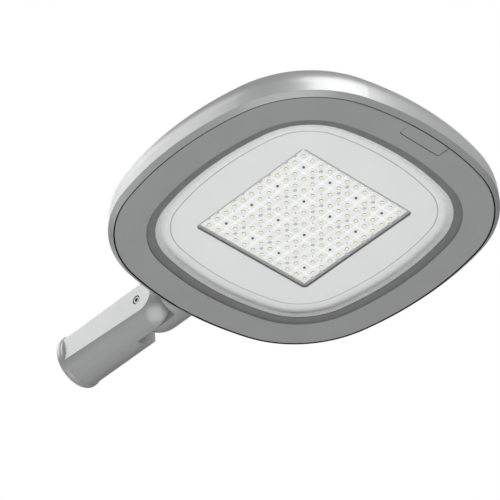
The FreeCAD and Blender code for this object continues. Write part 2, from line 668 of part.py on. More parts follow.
def build_spigot():
    """Spigot casting: bored barrel with flat sides, a collar and the tongue of the knuckle."""
    radius, bore = SIZE["barrel_radius"], SIZE["spigot_bore"] / 2
    collar, width, nose = SIZE["collar_radius"], SIZE["collar_width"], SIZE["tongue_nose"]
    body = new_body("spigot_casting", SPIGOT)
    profile = new_sketch(body, "spigot_profile")
    add_outline(profile, [
        (0, bore), (0, collar - COLLAR_ROUND, COLLAR_ROUND, -1), (COLLAR_ROUND, collar),
        (width - COLLAR_ROUND, collar), (width, radius), (nose, radius, radius, -1),
        (nose + radius, 0), (SIZE["bore_depth"], 0), (SIZE["bore_depth"], bore),
    ])
    revolve(body, profile, "H_Axis", "spigot_round")
    front, beyond, start = nose + radius + 5, radius + 8, width + 3
    slope = (SIZE["flat_front"] - SIZE["flat_rear"]) / (SIZE["pivot_x"] - start)
    flat_end = SIZE["flat_rear"] + slope * (front - start)
    flats = new_sketch(body, "spigot_flats_sketch")
    add_outline(flats, [(start, SIZE["flat_rear"]), (front, flat_end), (front, beyond), (start, beyond)])
    add_outline(flats, [(start, -SIZE["flat_rear"]), (start, -beyond), (front, -beyond), (front, -flat_end)])
    pocket_through(body, flats, "spigot_flats")
    notch = new_sketch(body, "spigot_notch_sketch")
    add_box_outline(notch, SIZE["notch_wall"], front, TONGUE_FACE, beyond)
    pocket_through(body, notch, "spigot_notch")
    pivot = new_sketch(body, "tongue_pivot_sketch", "XZ_Plane")
    add_circle(pivot, SIZE["pivot_x"], 0, SIZE["pivot_bolt"] / 2 + SIZE["pivot_clearance"])
    pocket_through(body, pivot, "tongue_pivot")
    recess = new_sketch(body, "pivot_recess_sketch", "XZ_Plane", beyond)
    add_circle(recess, SIZE["pivot_x"], 0, SIZE["pivot_recess"] / 2)
    pocket_to(body, recess, beyond + BOLT_SEAT, "pivot_recess", along_normal=False)
    cable = new_sketch(body, "spigot_cable_sketch", "YZ_Plane", SIZE["bore_depth"] - 1)
    add_circle(cable, SIZE["cable_y"], SIZE["cable_z"], SIZE["cable_hole"] / 2)
    pocket_to(body, cable, SIZE["notch_wall"] - SIZE["bore_depth"] + 2, "spigot_cable", along_normal=True)
    screws = new_sketch(body, "clamp_holes_sketch")
    for x in CLAMP_PLACES:
        add_circle(screws, x, 0, SIZE["clamp_screw"] / 2 + SIZE["pivot_clearance"])
    pocket_to(body, screws, beyond, "clamp_holes", along_normal=True)
    keep(body, "spigot_casting")


def turned(name, frame, nodes, axis="V_Axis", role="XZ_Plane"):
    """Body revolved from a half profile."""
    body = new_body(name, frame)
    profile = new_sketch(body, name + "_profile", role)
    add_outline(profile, nodes)
    revolve(body, profile, axis, name + "_round")
    return body


def build_pivot():
    """Pivot screw with a hex socket, its nut and the toothed washer in the lap."""
    bolt, head = SIZE["pivot_bolt"] / 2, SIZE["pivot_head"] / 2
    seat, tip = BOLT_SEAT, SIZE["flat_front"] - 1
    frame = (SIZE["pivot_x"], as_size(0), as_size(0))
    body = turned("pivot_screw", frame, [
        (0, seat - BOLT_HEAD), (head - 1, seat - BOLT_HEAD), (head, seat - BOLT_HEAD + 1), (head, seat),
        (bolt, seat), (bolt, tip), (0, tip)], "V_Axis", "XY_Plane")
    socket = new_sketch(body, "pivot_socket_sketch", "XZ_Plane", BOLT_HEAD - seat)
    add_outline(socket, hexagon_nodes(0, 0, SIZE["pivot_bolt"] * 0.375))
    pocket_to(body, socket, BOLT_HEAD / 2, "pivot_socket", along_normal=False)
    keep(body, "pivot_screw")
    nut = new_body("pivot_nut", frame)
    outline = new_sketch(nut, "pivot_nut_sketch", "XZ_Plane", NUT_DEPTH - SIZE["flat_front"])
    add_outline(outline, hexagon_nodes(0, 0, NUT_FLATS / 2))
    add_circle(outline, 0, 0, bolt + SIZE["pivot_clearance"])
    feature = pad(nut, outline, NUT_DEPTH - 1.5, "pivot_nut_pad")
    feature.Reversed = True
    keep(nut, "pivot_nut")
    washer = new_body("lap_washer", frame)
    face = new_sketch(washer, "lap_washer_sketch", "XZ_Plane", -(EAR_FACE + SIZE["washer_seat"]))
    add_circle(face, 0, 0, SIZE["washer_diameter"] / 2)
    add_circle(face, 0, 0, bolt + SIZE["pivot_clearance"])
    pad(washer, face, SIZE["washer_seat"] + SIZE["lap_gap"] - 0.1, "lap_washer_pad")
    keep(washer, "lap_washer")


def build_door():
    """Door frame: swept ring with walls for the glass and the seal, hinge knuckles and latch blocks."""
    plate, edge_wall = SIZE["bezel_plate"], SIZE["bezel_edge_wall"]
    seal_in, seal_out = SEAL_OUTER + FIT, SEAL_OUTER + FIT + SIZE["seal_wall"]
    glass_out, round_off = GLASS_WALL_INNER + SIZE["glass_wall"], SIZE["bezel_round"]
    body = swept_ring("door_frame", DOOR_HALF, [
        (BEZEL_INNER, 0), (DOOR_HALF - round_off, 0), (DOOR_HALF, round_off),
        (DOOR_HALF, SIZE["bezel_edge"]), (DOOR_HALF - edge_wall, SIZE["bezel_edge"]),
        (DOOR_HALF - edge_wall, plate), (seal_out, plate), (seal_out, SIZE["seal_wall_top"]),
        (seal_in, SIZE["seal_wall_top"]), (seal_in, plate), (glass_out, plate),
        (glass_out, SIZE["glass_wall_top"]), (GLASS_WALL_INNER, SIZE["glass_wall_top"]),
        (GLASS_WALL_INNER, plate), (BEZEL_INNER, plate)])
    x, z, eye = HINGE_X, SIZE["hinge_height"], SIZE["hinge_eye"]
    notches = new_sketch(body, "hinge_notches_sketch")
    reach = SIZE["hinge_knuckle"] / 2 + (SIZE["hinge_pitch"] - SIZE["hinge_knuckle"])
    for step in (-2, 0, 2):
        middle = SIZE["hinge_pitch"] * step
        add_box_outline(notches, x - eye * 2, x + eye + FIT, middle - reach, middle + reach)
    pocket_through(body, notches, "hinge_notches")
    for step in (-1, 1):
        knuckle = new_sketch(body, f"knuckle_sketch_{step + 1}", "XZ_Plane", -SIZE["hinge_pitch"] * step)
        add_outline(knuckle, knuckle_outline(SIZE["hinge_offset"] + eye))
        feature = pad(body, knuckle, SIZE["hinge_knuckle"], f"knuckle_{step + 1}")
        feature.Midplane = True
    eye_hole = new_sketch(body, "knuckle_eye_sketch", "XZ_Plane")
    add_circle(eye_hole, x, z, SIZE["hinge_pin"] / 2 + SIZE["pivot_clearance"])
    pocket_through(body, eye_hole, "knuckle_eyes")
    gap = SIZE["latch_gap"] / 2
    block_low, block_high = SIZE["latch_half_width"] + gap, SIZE["latch_half_width"] + gap + LATCH_BLOCK
    blocks = new_sketch(body, "latch_blocks_sketch", "XY_Plane", plate - 0.5)
    block_x = (LATCH_INNER - 3, LATCH_INNER + 8)
    add_box_outline(blocks, *block_x, block_low, block_high)
    add_box_outline(blocks, *block_x, -block_high, -block_low)
    pad(body, blocks, SIZE["bezel_edge"] - plate + 0.5, "latch_blocks")
    opening = new_sketch(body, "latch_opening_sketch")
    add_outline(opening, latch_nodes(gap))
    pocket_through(body, opening, "latch_opening")
    pin = new_sketch(body, "latch_pin_hole_sketch", "XZ_Plane")
    add_circle(pin, LATCH_PIVOT_X, LATCH_PIVOT_Z, SIZE["latch_pin"] / 2 + SIZE["pivot_clearance"])
    pin_hole = pocket_to(body, pin, block_high * 2, "latch_pin_holes", along_normal=False)
    pin_hole.Midplane = True
    keep(body, "door_frame")


def latch_nodes(grow):
    """Latch outline in the door frame's plate, open towards the frame's outer edge."""
    inner, outer = LATCH_INNER - grow, DOOR_HALF + 5
    half, corner = SIZE["latch_half_width"] + grow, SIZE["latch_corner"]
    return [(outer, -half), (outer, half), (inner + corner, half, corner, 1), (inner, half - corner),
            (inner, corner - half, corner, 1), (inner + corner, -half)]


def build_latch():
    """Flush latch lever with the hook that holds the door, its pin, spring and catch."""
    gap, thickness, arm_half = SIZE["latch_gap"] / 2, SIZE["latch_thickness"], SIZE["latch_arm_half"]
    body = new_body("latch_body", HEAD)
    plate = new_sketch(body, "latch_plate_sketch")
    add_outline(plate, latch_nodes(-gap))
    pad(body, plate, thickness, "latch_plate")
    bevel_low_edge(body, "latch_bevel", LATCH_BEVEL)
    hook = new_sketch(body, "latch_hook_sketch", "XZ_Plane")
    beak = SIZE["catch_crest"] + FIT
    add_outline(hook, [(HOOK_BACK, thickness - 1), (HOOK_BACK, beak + SIZE["latch_arm"]),
                       (HOOK_TIP, beak + SIZE["latch_arm"] - 1), (HOOK_TIP, beak),
                       (HOOK_BACK - SIZE["latch_arm"], beak), (HOOK_BACK - SIZE["latch_arm"], thickness - 1)])
    feature = pad(body, hook, arm_half * 2, "latch_hook")
    feature.Midplane = True
    pin = new_sketch(body, "latch_pin_way_sketch", "XZ_Plane")
    add_circle(pin, LATCH_PIVOT_X, LATCH_PIVOT_Z, SIZE["latch_pin"] / 2 + SIZE["pivot_clearance"])
    pocket_through(body, pin, "latch_pin_way")
    limit = slab("latch_limit", HEAD, rounded_square_nodes(DOOR_HALF), -1, SIZE["canopy_height"])
    keep(common("latch_part", body, limit), "latch_lever")
    reach = SIZE["latch_half_width"] + gap + LATCH_BLOCK
    keep(cylinder("latch_pin_part", HEAD, SIZE["latch_pin"] / 2, reach * 2 - 1,
                  (LATCH_PIVOT_X, 0.5 - reach, LATCH_PIVOT_Z), Vector(0, 1, 0)), "latch_pin")
    rib_face, leaf = RIB_INNER + SIZE["rib_wall"] + 0.1, CATCH_LEAF
    crest, tip = SIZE["catch_crest"], HOOK_TIP - FIT
    catch = new_body("catch_body", HEAD)
    section = new_sketch(catch, "catch_section", "XZ_Plane")
    add_outline(section, [(rib_face, crest + 20), (rib_face, crest + 9), (tip - leaf * 1.3, crest),
                          (rib_face + 2, crest - 5.4), (rib_face + 3, crest - 6), (tip, crest - 0.5),
                          (tip, crest + 0.5), (rib_face + leaf, crest + 9.4), (rib_face + leaf, crest + 20)])
    feature = pad(catch, section, arm_half * 2 + 2, "catch_pad")
    feature.Midplane = True
    keep(catch, "catch_spring")


def build_glazing():
    """Glass, its gasket ring, the rim seal and the spring clips that hold the glass down."""
    plate = SIZE["bezel_plate"]
    keep(ring("gasket_ring", GLASS_WALL_INNER - 0.2, GASKET_INNER, plate, GLASS_FLOOR),
         "glass_gasket")
    keep(slab("glass_sheet", HEAD, rounded_square_nodes(GLASS_HALF), GLASS_FLOOR, GLASS_TOP), "glass")
    keep(ring("seal_ring", SEAL_OUTER, SEAL_INNER, plate, SIZE["rib_drop"] - FIT), "rim_seal")
    keep(group("clips", HEAD, [clip_solid(turn) for turn in clip_turns()]), "glass_clips")


def clip_turns():
    """Directions of the eight clips: two on each side, seen from that side's arc centre."""
    return [(quarter, way * CLIP_TURN) for quarter in range(4) for way in (1, -1)]


def clip_solid(turn):
    """One L-shaped spring clip over the wall round the glass."""
    quarter, angle = turn
    side = float(SIZE["side_centre"])
    wall_out = float(GLASS_WALL_INNER + SIZE["glass_wall"]) + 0.1
    top, leaf = float(SIZE["glass_wall_top"]) + 0.05, CLIP_LEAF
    finger = Part.makeBox(wall_out + leaf - float(GLASS_HALF) + 6, CLIP_WIDTH, leaf)
    finger.translate(Vector(float(GLASS_HALF) - 6 + side, -CLIP_WIDTH / 2, top))
    leg = Part.makeBox(leaf, CLIP_WIDTH, top - float(SIZE["bezel_plate"]) - 0.4)
    leg.translate(Vector(wall_out + side, -CLIP_WIDTH / 2, float(SIZE["bezel_plate"]) + 0.4))
    clip = finger.fuse(leg).removeSplitter()
    clip.rotate(Vector(0, 0, 0), Vector(0, 0, 1), angle)
    clip.translate(Vector(-side, 0, 0))
    clip.rotate(Vector(0, 0, 0), Vector(0, 0, 1), 90 * quarter)
    return clip


def group(name, frame, solids):
    """One node of several separate solids, drawn about a frame."""
    feature = doc.addObject("Part::Feature", name)
    feature.Shape = Part.makeCompound(solids)
    place(feature, frame)
    return feature


def build_light_cover():
    """Pale panel with a domed margin, a fine groove, a square window and snap posts behind it."""
    face, sheet_wall, flat = SIZE["cover_face"], SIZE["cover_thickness"], COVER_FLAT
    margin, rise = COVER_HALF - flat, SIZE["cover_rise"]
    bend = (margin * margin + rise * rise) / (rise * 2)
    inner_bend = bend - sheet_wall
    groove_in = GROOVE_HALF - SIZE["groove_width"] / 2
    groove_out = GROOVE_HALF + SIZE["groove_width"] / 2
    overlap = flat - 20
    body = swept_ring("light_cover", flat, [
        (overlap, face), (groove_in, face), (groove_in, face + SIZE["groove_depth"]),
        (groove_out, face + SIZE["groove_depth"]), (groove_out, face), (flat, face, bend, 1),
        (COVER_HALF, face + rise),
        (flat + inner_bend * margin / bend, face + bend - inner_bend * (bend - rise) / bend, inner_bend, -1),
        (flat, face + sheet_wall), (overlap, face + sheet_wall)])
    middle = new_sketch(body, "light_cover_middle_sketch", "XY_Plane", face)
    add_outline(middle, rounded_square_nodes(overlap + 1))
    trim = WINDOW_HALF + SIZE["window_trim_wall"]
    add_outline(middle, rounded_rectangle_nodes(trim, trim, SIZE["window_corner"] + SIZE["window_trim_wall"]))
    pad(body, middle, sheet_wall, "light_cover_middle")
    posts = new_sketch(body, "cover_posts_sketch", "XY_Plane", face + sheet_wall / 2)
    line = (SINK_HALF + trim) / 2
    for along in (COVER_POST_STEP, -COVER_POST_STEP):
        for across in (line, -line):
            add_circle(posts, across, along, COVER_POST)
            add_circle(posts, along, across, COVER_POST)
    pad(body, posts, SINK_FLOOR - face - sheet_wall / 2, "cover_posts")
    keep(body, "light_cover")
    frame = new_body("window_trim", HEAD)
    sketch = new_sketch(frame, "window_trim_sketch", "XY_Plane", face)
    add_outline(sketch, rounded_rectangle_nodes(trim, trim, SIZE["window_corner"] + SIZE["window_trim_wall"]))
    add_outline(sketch, rounded_rectangle_nodes(WINDOW_HALF, WINDOW_HALF,
                                                SIZE["window_corner"]))
    pad(frame, sketch, LENS_FLOOR - face, "window_trim_pad")
    keep(frame, "window_trim")


def plate_places():
    """Middles of the lens plates, row by row."""
    span = SIZE["led_pitch"] * LEDS_A_PLATE
    steps = [span * (index - (PLATES_A_SIDE - 1) / 2) for index in range(PLATES_A_SIDE)]
    return [(x, y) for y in steps for x in steps]


def build_lens_plates():
    """Sixteen lens plates, each a foot, a plate and raised cells round its screw."""
    half = (SIZE["led_pitch"] * LEDS_A_PLATE - SIZE["lens_gap"]) / 2
    cell = SIZE["lens_cell"] / 2
    ring_of_cells = [(i, j) for i in (-1, 0, 1) for j in (-1, 0, 1) if (i, j) != (0, 0)]
    for index, (x, y) in enumerate(plate_places(), start=1):
        name = f"lens_plate_{index:02d}"
        body = new_body(name, (HEAD[0] + x, HEAD[1] + y, HEAD[2]))
        base = new_sketch(body, name + "_base_sketch", "XY_Plane", LENS_FLOOR)
        add_outline(base, box_nodes(-half, half, -half, half))
        add_circle(base, 0, 0, SIZE["lens_screw"] / 2 + SIZE["pivot_clearance"])
        pad(body, base, SIZE["lens_plate"], name + "_base")
        foot = new_sketch(body, name + "_foot_sketch", "XY_Plane", LENS_TOP)
        add_outline(foot, box_nodes(-half, half, -half, half))
        add_outline(foot, box_nodes(1 - half, half - 1, 1 - half, half - 1))
        pad(body, foot, SIZE["lens_foot"], name + "_foot")
        cells = new_sketch(body, name + "_cells_sketch", "XY_Plane", LENS_FLOOR)
        for i, j in ring_of_cells:
            at_x, at_y = SIZE["led_pitch"] * i, SIZE["led_pitch"] * j
            add_outline(cells, box_nodes(at_x - cell, at_x + cell, at_y - cell, at_y + cell))
        feature = pad(body, cells, SIZE["lens_cell_height"], name + "_cells", taper=-LENS_DRAFT)
        feature.Reversed = True
        keep(body, name)


def build_led_boards():
    """Four LED boards and the LED chips on each of them."""
    half = (SIZE["led_pitch"] * LEDS_A_SIDE / 2 - SIZE["board_gap"]) / 2
    quarter = SIZE["led_pitch"] * LEDS_A_SIDE / 4
    screw_hole = SIZE["lens_screw"] / 2 + SIZE["pivot_clearance"]
    for index, (i, j) in enumerate([(-1, -1), (1, -1), (-1, 1), (1, 1)], start=1):
        x, y = quarter * i, quarter * j
        board = new_body(f"led_board_{index}", (HEAD[0] + x, HEAD[1] + y, HEAD[2]))
        sketch = new_sketch(board, f"led_board_sketch_{index}", "XY_Plane", BOARD_FLOOR)
        add_outline(sketch, box_nodes(-half, half, -half, half))
        for a, b in [(-1, -1), (1, -1), (-1, 1), (1, 1)]:
            add_circle(sketch, quarter * a / 2, quarter * b / 2, screw_hole)
        pad(board, sketch, SIZE["board_thickness"], f"led_board_pad_{index}")
        keep(board, f"led_board_{index}")
        keep(group(f"led_chip_group_{index}", HEAD, led_chips(float(x), float(y))), f"led_chips_{index}")


def led_chips(x_middle, y_middle):
    """The chips of one board: every place of its 6 by 6 grid but the four screw places."""
    pitch, size = float(SIZE["led_pitch"]), float(SIZE["chip_size"])
    height, floor = float(SIZE["chip_height"]), float(BOARD_FLOOR)
    chips = []
    for i in range(LEDS_A_SIDE // 2):
        for j in range(LEDS_A_SIDE // 2):
            if i % LEDS_A_PLATE == 1 and j % LEDS_A_PLATE == 1:
                continue
            x = x_middle + (i - (LEDS_A_SIDE // 2 - 1) / 2) * pitch
            y = y_middle + (j - (LEDS_A_SIDE // 2 - 1) / 2) * pitch
            corner = Vector(x - size / 2, y - size / 2, floor - height)
            chips.append(Part.makeBox(size, size, height, corner))
    return chips


def build_heat_sink():
    """Heat sink: flat plate that carries the LED boards, with upright fins over it."""
    half, fin = SINK_HALF, SIZE["fin_thickness"] / 2
    body = slab("heat_sink", HEAD, box_nodes(-half, half, -half, half), SINK_FLOOR, SINK_TOP)
    fins = new_sketch(body, "fins_sketch", "XY_Plane", SINK_TOP)
    for index in range(FINS):
        y = SIZE["fin_pitch"] * (index - (FINS - 1) / 2)
        add_outline(fins, box_nodes(FIN_INSET - half, half - FIN_INSET, y - fin, y + fin))
    pad(body, fins, SIZE["fin_height"], "fins")
    holes = new_sketch(body, "sink_holes_sketch", "XY_Plane", SINK_FLOOR)
    for x, y in SINK_BOSSES:
        add_circle(holes, x, y, SIZE["boss_screw"] / 2 + SIZE["pivot_clearance"])
    pocket_to(body, holes, SIZE["sink_plate"], "sink_holes", along_normal=True)
    taps = new_sketch(body, "lens_taps_sketch", "XY_Plane", SINK_FLOOR)
    for x, y in plate_places():
        add_circle(taps, x, y, SIZE["lens_screw"] / 2 + SIZE["pivot_clearance"])
    pocket_to(body, taps, LENS_SCREW_BITE + 0.5, "lens_taps", along_normal=True)
    keep(body, "heat_sink")


def screw_solid(at, head_radius, head_height, radius, length):
    """Pan-head screw that points up: head below the point, thread above it."""
    head = Part.makeCylinder(head_radius, head_height, at - Vector(0, 0, head_height))
    return head.fuse(Part.makeCylinder(radius, length, at)).removeSplitter()


def build_fasteners():
    """Screws, pins and rivets, one node for each kind."""
    thread = float(SIZE["boss_screw"]) / 2
    lens_thread, lens_floor = float(SIZE["lens_screw"]) / 2, float(LENS_FLOOR)
    lens_length = float(SINK_FLOOR) - lens_floor + LENS_SCREW_BITE
    keep(group("lens_screw_group", HEAD, [
        screw_solid(Vector(float(x), float(y), lens_floor), lens_thread * 1.35, 1.2, lens_thread, lens_length)
        for x, y in plate_places()]), "lens_screws")
    keep(group("sink_screw_group", HEAD, [
        screw_solid(Vector(float(x), float(y), float(SINK_FLOOR)), thread * 1.8, 3.0, thread,
                    float(SIZE["sink_plate"]) + BOSS_DRILL - 2) for x, y in SINK_BOSSES]), "heat_sink_screws")
    keep(group("tray_screw_group", HEAD, [
        screw_solid(Vector(float(x), float(y), float(SIZE["tray_height"])), thread * 1.8, 3.0, thread,
                    float(SIZE["tray_thickness"]) + BOSS_DRILL - 2) for x, y in TRAY_BOSSES]), "tray_screws")
    grip, wall_top = float(SIZE["clamp_screw"]) / 2, float(SIZE["barrel_radius"]) + 1
    bore = float(SIZE["spigot_bore"]) / 2 + 0.1
    keep(group("clamp_screw_group", SPIGOT, [
        socket_screw(Vector(float(x), 0, bore), grip, wall_top - bore)
        for x in CLAMP_PLACES]), "clamp_screws")
    pin_length = SIZE["hinge_pitch"] * 4 + SIZE["hinge_knuckle"]
    keep(cylinder("hinge_pin_part", HEAD, SIZE["hinge_pin"] / 2, pin_length,
                  (HINGE_X, -pin_length / 2, SIZE["hinge_height"]), Vector(0, 1, 0)), "hinge_pin")


def socket_screw(at, radius, length):
    """Headless screw with a hex socket in its outer end."""
    corner = radius * 0.58
    ring_of = [Vector(corner * math.cos(math.radians(60 * k)), corner * math.sin(math.radians(60 * k)), 0)
               for k in range(7)]
    socket = Part.Face(Part.makePolygon(ring_of)).extrude(Vector(0, 0, radius))
    socket.translate(at + Vector(0, 0, length - radius))
    return Part.makeCylinder(radius, length, at).cut(socket)


def build_gear():
    """Gear tray with the driver, the surge protector and the terminal block, and the cable gland."""
    front, rear, half = TRAY_FRONT, TRAY_REAR, SIZE["tray_half_width"]
    tray = new_body("gear_tray", HEAD)
    outline = new_sketch(tray, "gear_tray_sketch", "XY_Plane", SIZE["tray_height"])
    add_outline(outline, box_nodes(rear, front, -half, half))
    for x, y in TRAY_BOSSES:
        add_circle(outline, x, y, SIZE["boss_screw"] / 2 + SIZE["pivot_clearance"])
    pad(tray, outline, SIZE["tray_thickness"], "gear_tray_pad")
    keep(tray, "gear_tray")
    middle, side = (front + rear) / 2, SIZE["driver_width"] / 2
    low = -half + SIZE["tray_boss_inset"] * 2
    high = low + SIZE["driver_length"]
    driver = slab("led_driver", HEAD, box_nodes(middle - side, middle + side, low, high),
                  TRAY_TOP, TRAY_TOP + SIZE["driver_height"])
    feet = new_sketch(driver, "driver_feet_sketch", "XY_Plane", TRAY_TOP)
    foot = SIZE["driver_foot"]
    add_outline(feet, box_nodes(middle - 10, middle + 10, low - foot, high + foot))
    pad(driver, feet, DRIVER_FOOT_PLATE, "driver_feet")
    doc.recompute()
    upright = edges_where(driver.Tip.Shape, is_tall_edge)
    fillet = driver.newObject("PartDesign::Fillet", "driver_rounds")
    fillet.Base = (driver.Group[-2], upright)
    fillet.Radius = 4
    keep(driver, "led_driver")
    foot_top = float(TRAY_TOP) + DRIVER_FOOT_PLATE
    keep(group("driver_screw_group", HEAD, [
        Part.makeCylinder(3.5, 2.5, Vector(float(middle), float(y), foot_top))
        for y in (low - SIZE["driver_foot"] / 2, high + SIZE["driver_foot"] / 2)]), "driver_screws")
    keep(slab("surge_protector", HEAD, box_nodes(front - 28, front - 4, high + 13, high + 41),
              TRAY_TOP, TRAY_TOP + 30), "surge_protector")
    block = slab("terminal_block", HEAD, box_nodes(rear + 12, rear + 38, high + 15, high + 40),
                 TRAY_TOP, TRAY_TOP + 20)
    ways = new_sketch(block, "terminal_ways_sketch", "YZ_Plane", rear + 11)
    for step in range(3):
        add_circle(ways, high + 20 + step * 7.5, TRAY_TOP + 8, 2.6)
    pocket_to(block, ways, 10, "terminal_ways", along_normal=True)
    keep(block, "terminal_block")
    build_gland()


def is_tall_edge(edge):
    """True for an upright edge as tall as the driver's body."""
    ends = edge.Vertexes
    if len(ends) < 2:
        return False
    rise = abs(ends[0].Z - ends[1].Z)
    level = math.hypot(ends[0].X - ends[1].X, ends[0].Y - ends[1].Y)
    return level < 1e-6 and rise > float(SIZE["driver_height"]) / 2


def build_gland():
    """Cable gland through the sealing rib, where the supply cable enters."""
    thread, cable = GLAND_THREAD / 2, SIZE["cable_hole"] / 4
    outer_face = RIB_INNER + SIZE["rib_wall"] + 0.2
    frame = (HEAD_REACH - outer_face, SIZE["gland_y"], SIZE["gland_z"])
    body = turned("gland", frame, [
        (-16, cable), (-16, thread - 2), (-13, thread + 1), (-5, thread + 1), (-5, thread + 3),
        (0, thread + 3), (0, thread), (SIZE["rib_wall"] + 7, thread),
        (SIZE["rib_wall"] + 7, cable)], "H_Axis", "XY_Plane")
    keep(body, "cable_gland")
    nut_frame = (frame[0] + SIZE["rib_wall"] + 1.6, frame[1], frame[2])
    nut = new_body("gland_nut", nut_frame)
    sketch = new_sketch(nut, "gland_nut_sketch", "YZ_Plane")
    add_outline(sketch, hexagon_nodes(0, 0, thread + 2.5))
    add_circle(sketch, 0, 0, thread + SIZE["pivot_clearance"])
    pad(nut, sketch, 4.5, "gland_nut_pad")
    keep(nut, "gland_nut")


# Sizes and places that follow from the sheet, and small details that nothing else depends on.
FIT = SIZE["fit_gap"]
TONGUE_FACE = SIZE["lap_plane"] - SIZE["lap_gap"] / 2
EAR_FACE = SIZE["lap_plane"] + SIZE["lap_gap"] / 2
BOLT_HEAD = SIZE["pivot_bolt"]
BOLT_SEAT = BOLT_HEAD + 0.5 - SIZE["flat_front"]
NUT_FLATS = SIZE["pivot_bolt"] * 1.625
NUT_DEPTH = SIZE["pivot_bolt"]
SINK_BOSSES = [(SINK_BOSS * i, SINK_BOSS * j) for i in (1, -1) for j in (1, -1)]
TRAY_BOSSES = [(x, (SIZE["tray_half_width"] - SIZE["tray_boss_inset"]) * j)
               for x in (TRAY_FRONT - SIZE["tray_boss_inset"], TRAY_REAR + SIZE["tray_boss_inset"])
               for j in (1, -1)]
BOSS_DRILL = 14
CLAMP_PLACES = [28, 74]
COLLAR_ROUND = 2
GLAND_THREAD = SIZE["cable_hole"] + 2
HINGE_BITE = 0.9
LATCH_BLOCK = as_size(7)
LATCH_BEVEL = as_size(0.9)
LATCH_PIVOT_X = LATCH_INNER + SIZE["latch_gap"] / 2 + SIZE["latch_thickness"] / 2
LATCH_PIVOT_Z = SIZE["latch_thickness"] / 2
HOOK_BACK = LATCH_PIVOT_X + 8
HOOK_TIP = LATCH_PIVOT_X - 5
CATCH_LEAF = 0.8
CLIP_TURN = 9
CLIP_WIDTH = 14
CLIP_LEAF = 0.8
COVER_POST = 3
COVER_POST_STEP = 60
LENS_DRAFT = 25
LENS_SCREW_BITE = 4
FINS = 12
FIN_INSET = 21
DRIVER_FOOT_PLATE = 2

build_spigot()
build_pivot()
build_canopy()
build_door()
build_latch()
build_glazing()
build_light_cover()
build_lens_plates()
build_led_boards()
build_heat_sink()
build_gear()
build_fasteners()
doc.recompute()

for item in doc.Objects:
    if {"Invalid", "Error"} & set(item.State):
        raise RuntimeError(f"{item.Label} did not build: {item.State}")
for label, feature in parts.items():
    if feature.Shape.isNull() or not feature.Shape.isValid():
        raise RuntimeError(f"{label} is not a valid shape")

os.makedirs("parts", exist_ok=True)
for label, feature in parts.items():
    feature.Shape.exportStep(f"parts/{label}.step")
    print(f"{label}: {len(feature.Shape.Solids)} solids, {feature.Shape.Volume / 1000:.2f} cm3")
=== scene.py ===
# LED street light head: finishes and fine details over its fixed frame, in metres.

import json
import math

import bmesh
import bpy
from mathutils import Matrix, Vector


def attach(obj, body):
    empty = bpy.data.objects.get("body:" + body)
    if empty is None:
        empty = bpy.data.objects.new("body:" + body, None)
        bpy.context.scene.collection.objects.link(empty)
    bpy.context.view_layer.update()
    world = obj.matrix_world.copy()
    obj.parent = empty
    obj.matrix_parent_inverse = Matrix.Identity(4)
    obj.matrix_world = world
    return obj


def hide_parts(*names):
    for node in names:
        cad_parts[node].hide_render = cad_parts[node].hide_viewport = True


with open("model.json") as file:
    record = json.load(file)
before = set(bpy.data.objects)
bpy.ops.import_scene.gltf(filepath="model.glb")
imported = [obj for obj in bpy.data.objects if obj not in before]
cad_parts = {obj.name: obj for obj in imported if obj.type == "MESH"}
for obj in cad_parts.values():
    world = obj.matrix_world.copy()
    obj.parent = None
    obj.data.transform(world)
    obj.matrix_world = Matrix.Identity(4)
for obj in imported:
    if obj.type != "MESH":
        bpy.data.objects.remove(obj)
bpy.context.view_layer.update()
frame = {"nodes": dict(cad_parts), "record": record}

# Places of the head, as in the part's source: the LED array's middle, the lamp's face and the LED pitch.
HEAD_X, FACE_Z = 0.4875, -0.0457
PITCH = 0.0176

# Middle and reach, along each axis, of the box round the small door hinge in the rear rim gap, where the
# gap's dark shade is painted over the hinge.
HINGE_BOX = {
    "X": (HEAD_X - 0.25105, 0.00105),
    "Y": (0.0, 0.0205),
    "Z": (FACE_Z + 0.001, 0.0024),
}
# Near-black of the painted gap shade on the hinge.
HINGE_GAP_SHADE = (0.02, 0.02, 0.02, 1.0)

# Part of a noise's range over which a colour drifts from one shade to the other.
DRIFT_START, DRIFT_END = 0.3, 0.7

# Colours of the window's wall and of the lens plates by height above the face: mm and grey.
WALL_SHADES = [(10.70, 0.60), (11.20, 0.60), (11.30, 0.010), (14.9, 0.016)]
# The lens plates' lighter band, at their flat web between cells and at their edges, is a painted
# highlight.
LENS_GREYS_WITH_HIGHLIGHT = [(12.0, 0.80), (14.55, 0.80), (14.80, 0.91), (15.00, 0.91), (15.3, 0.80), (17.5, 0.80)]


def spot(x, y, height):
    """A point of the head: offsets from the LED array's middle, height above the lamp's face."""
    return Vector((HEAD_X + x, y, FACE_Z + height))


# Materials

def new_material(name, color, roughness, metallic=0.0, **extra):
    material = bpy.data.materials.new(name)
    material.use_nodes = True
    shader = material.node_tree.nodes["Principled BSDF"]
    shader.inputs["Base Color"].default_value = (*color, 1.0)
    shader.inputs["Roughness"].default_value = roughness
    shader.inputs["Metallic"].default_value = metallic
    for socket, value in extra.items():
        shader.inputs[socket.replace("_", " ")].default_value = value
    return material


def noise_of(material, scale, detail=3.0, rough=0.5, stretch=(1, 1, 1)):
    """Noise in the object's own coordinates, scale in features per metre."""
    nodes, links = material.node_tree.nodes, material.node_tree.links
    place = nodes.new("ShaderNodeTexCoord")
    mapping = nodes.new("ShaderNodeMapping")
    mapping.inputs["Scale"].default_value = stretch
    noise = nodes.new("ShaderNodeTexNoise")
    noise.inputs["Scale"].default_value = scale
    noise.inputs["Detail"].default_value = detail
    noise.inputs["Roughness"].default_value = rough
    links.new(place.outputs["Object"], mapping.inputs["Vector"])
    links.new(mapping.outputs["Vector"], noise.inputs["Vector"])
    return noise


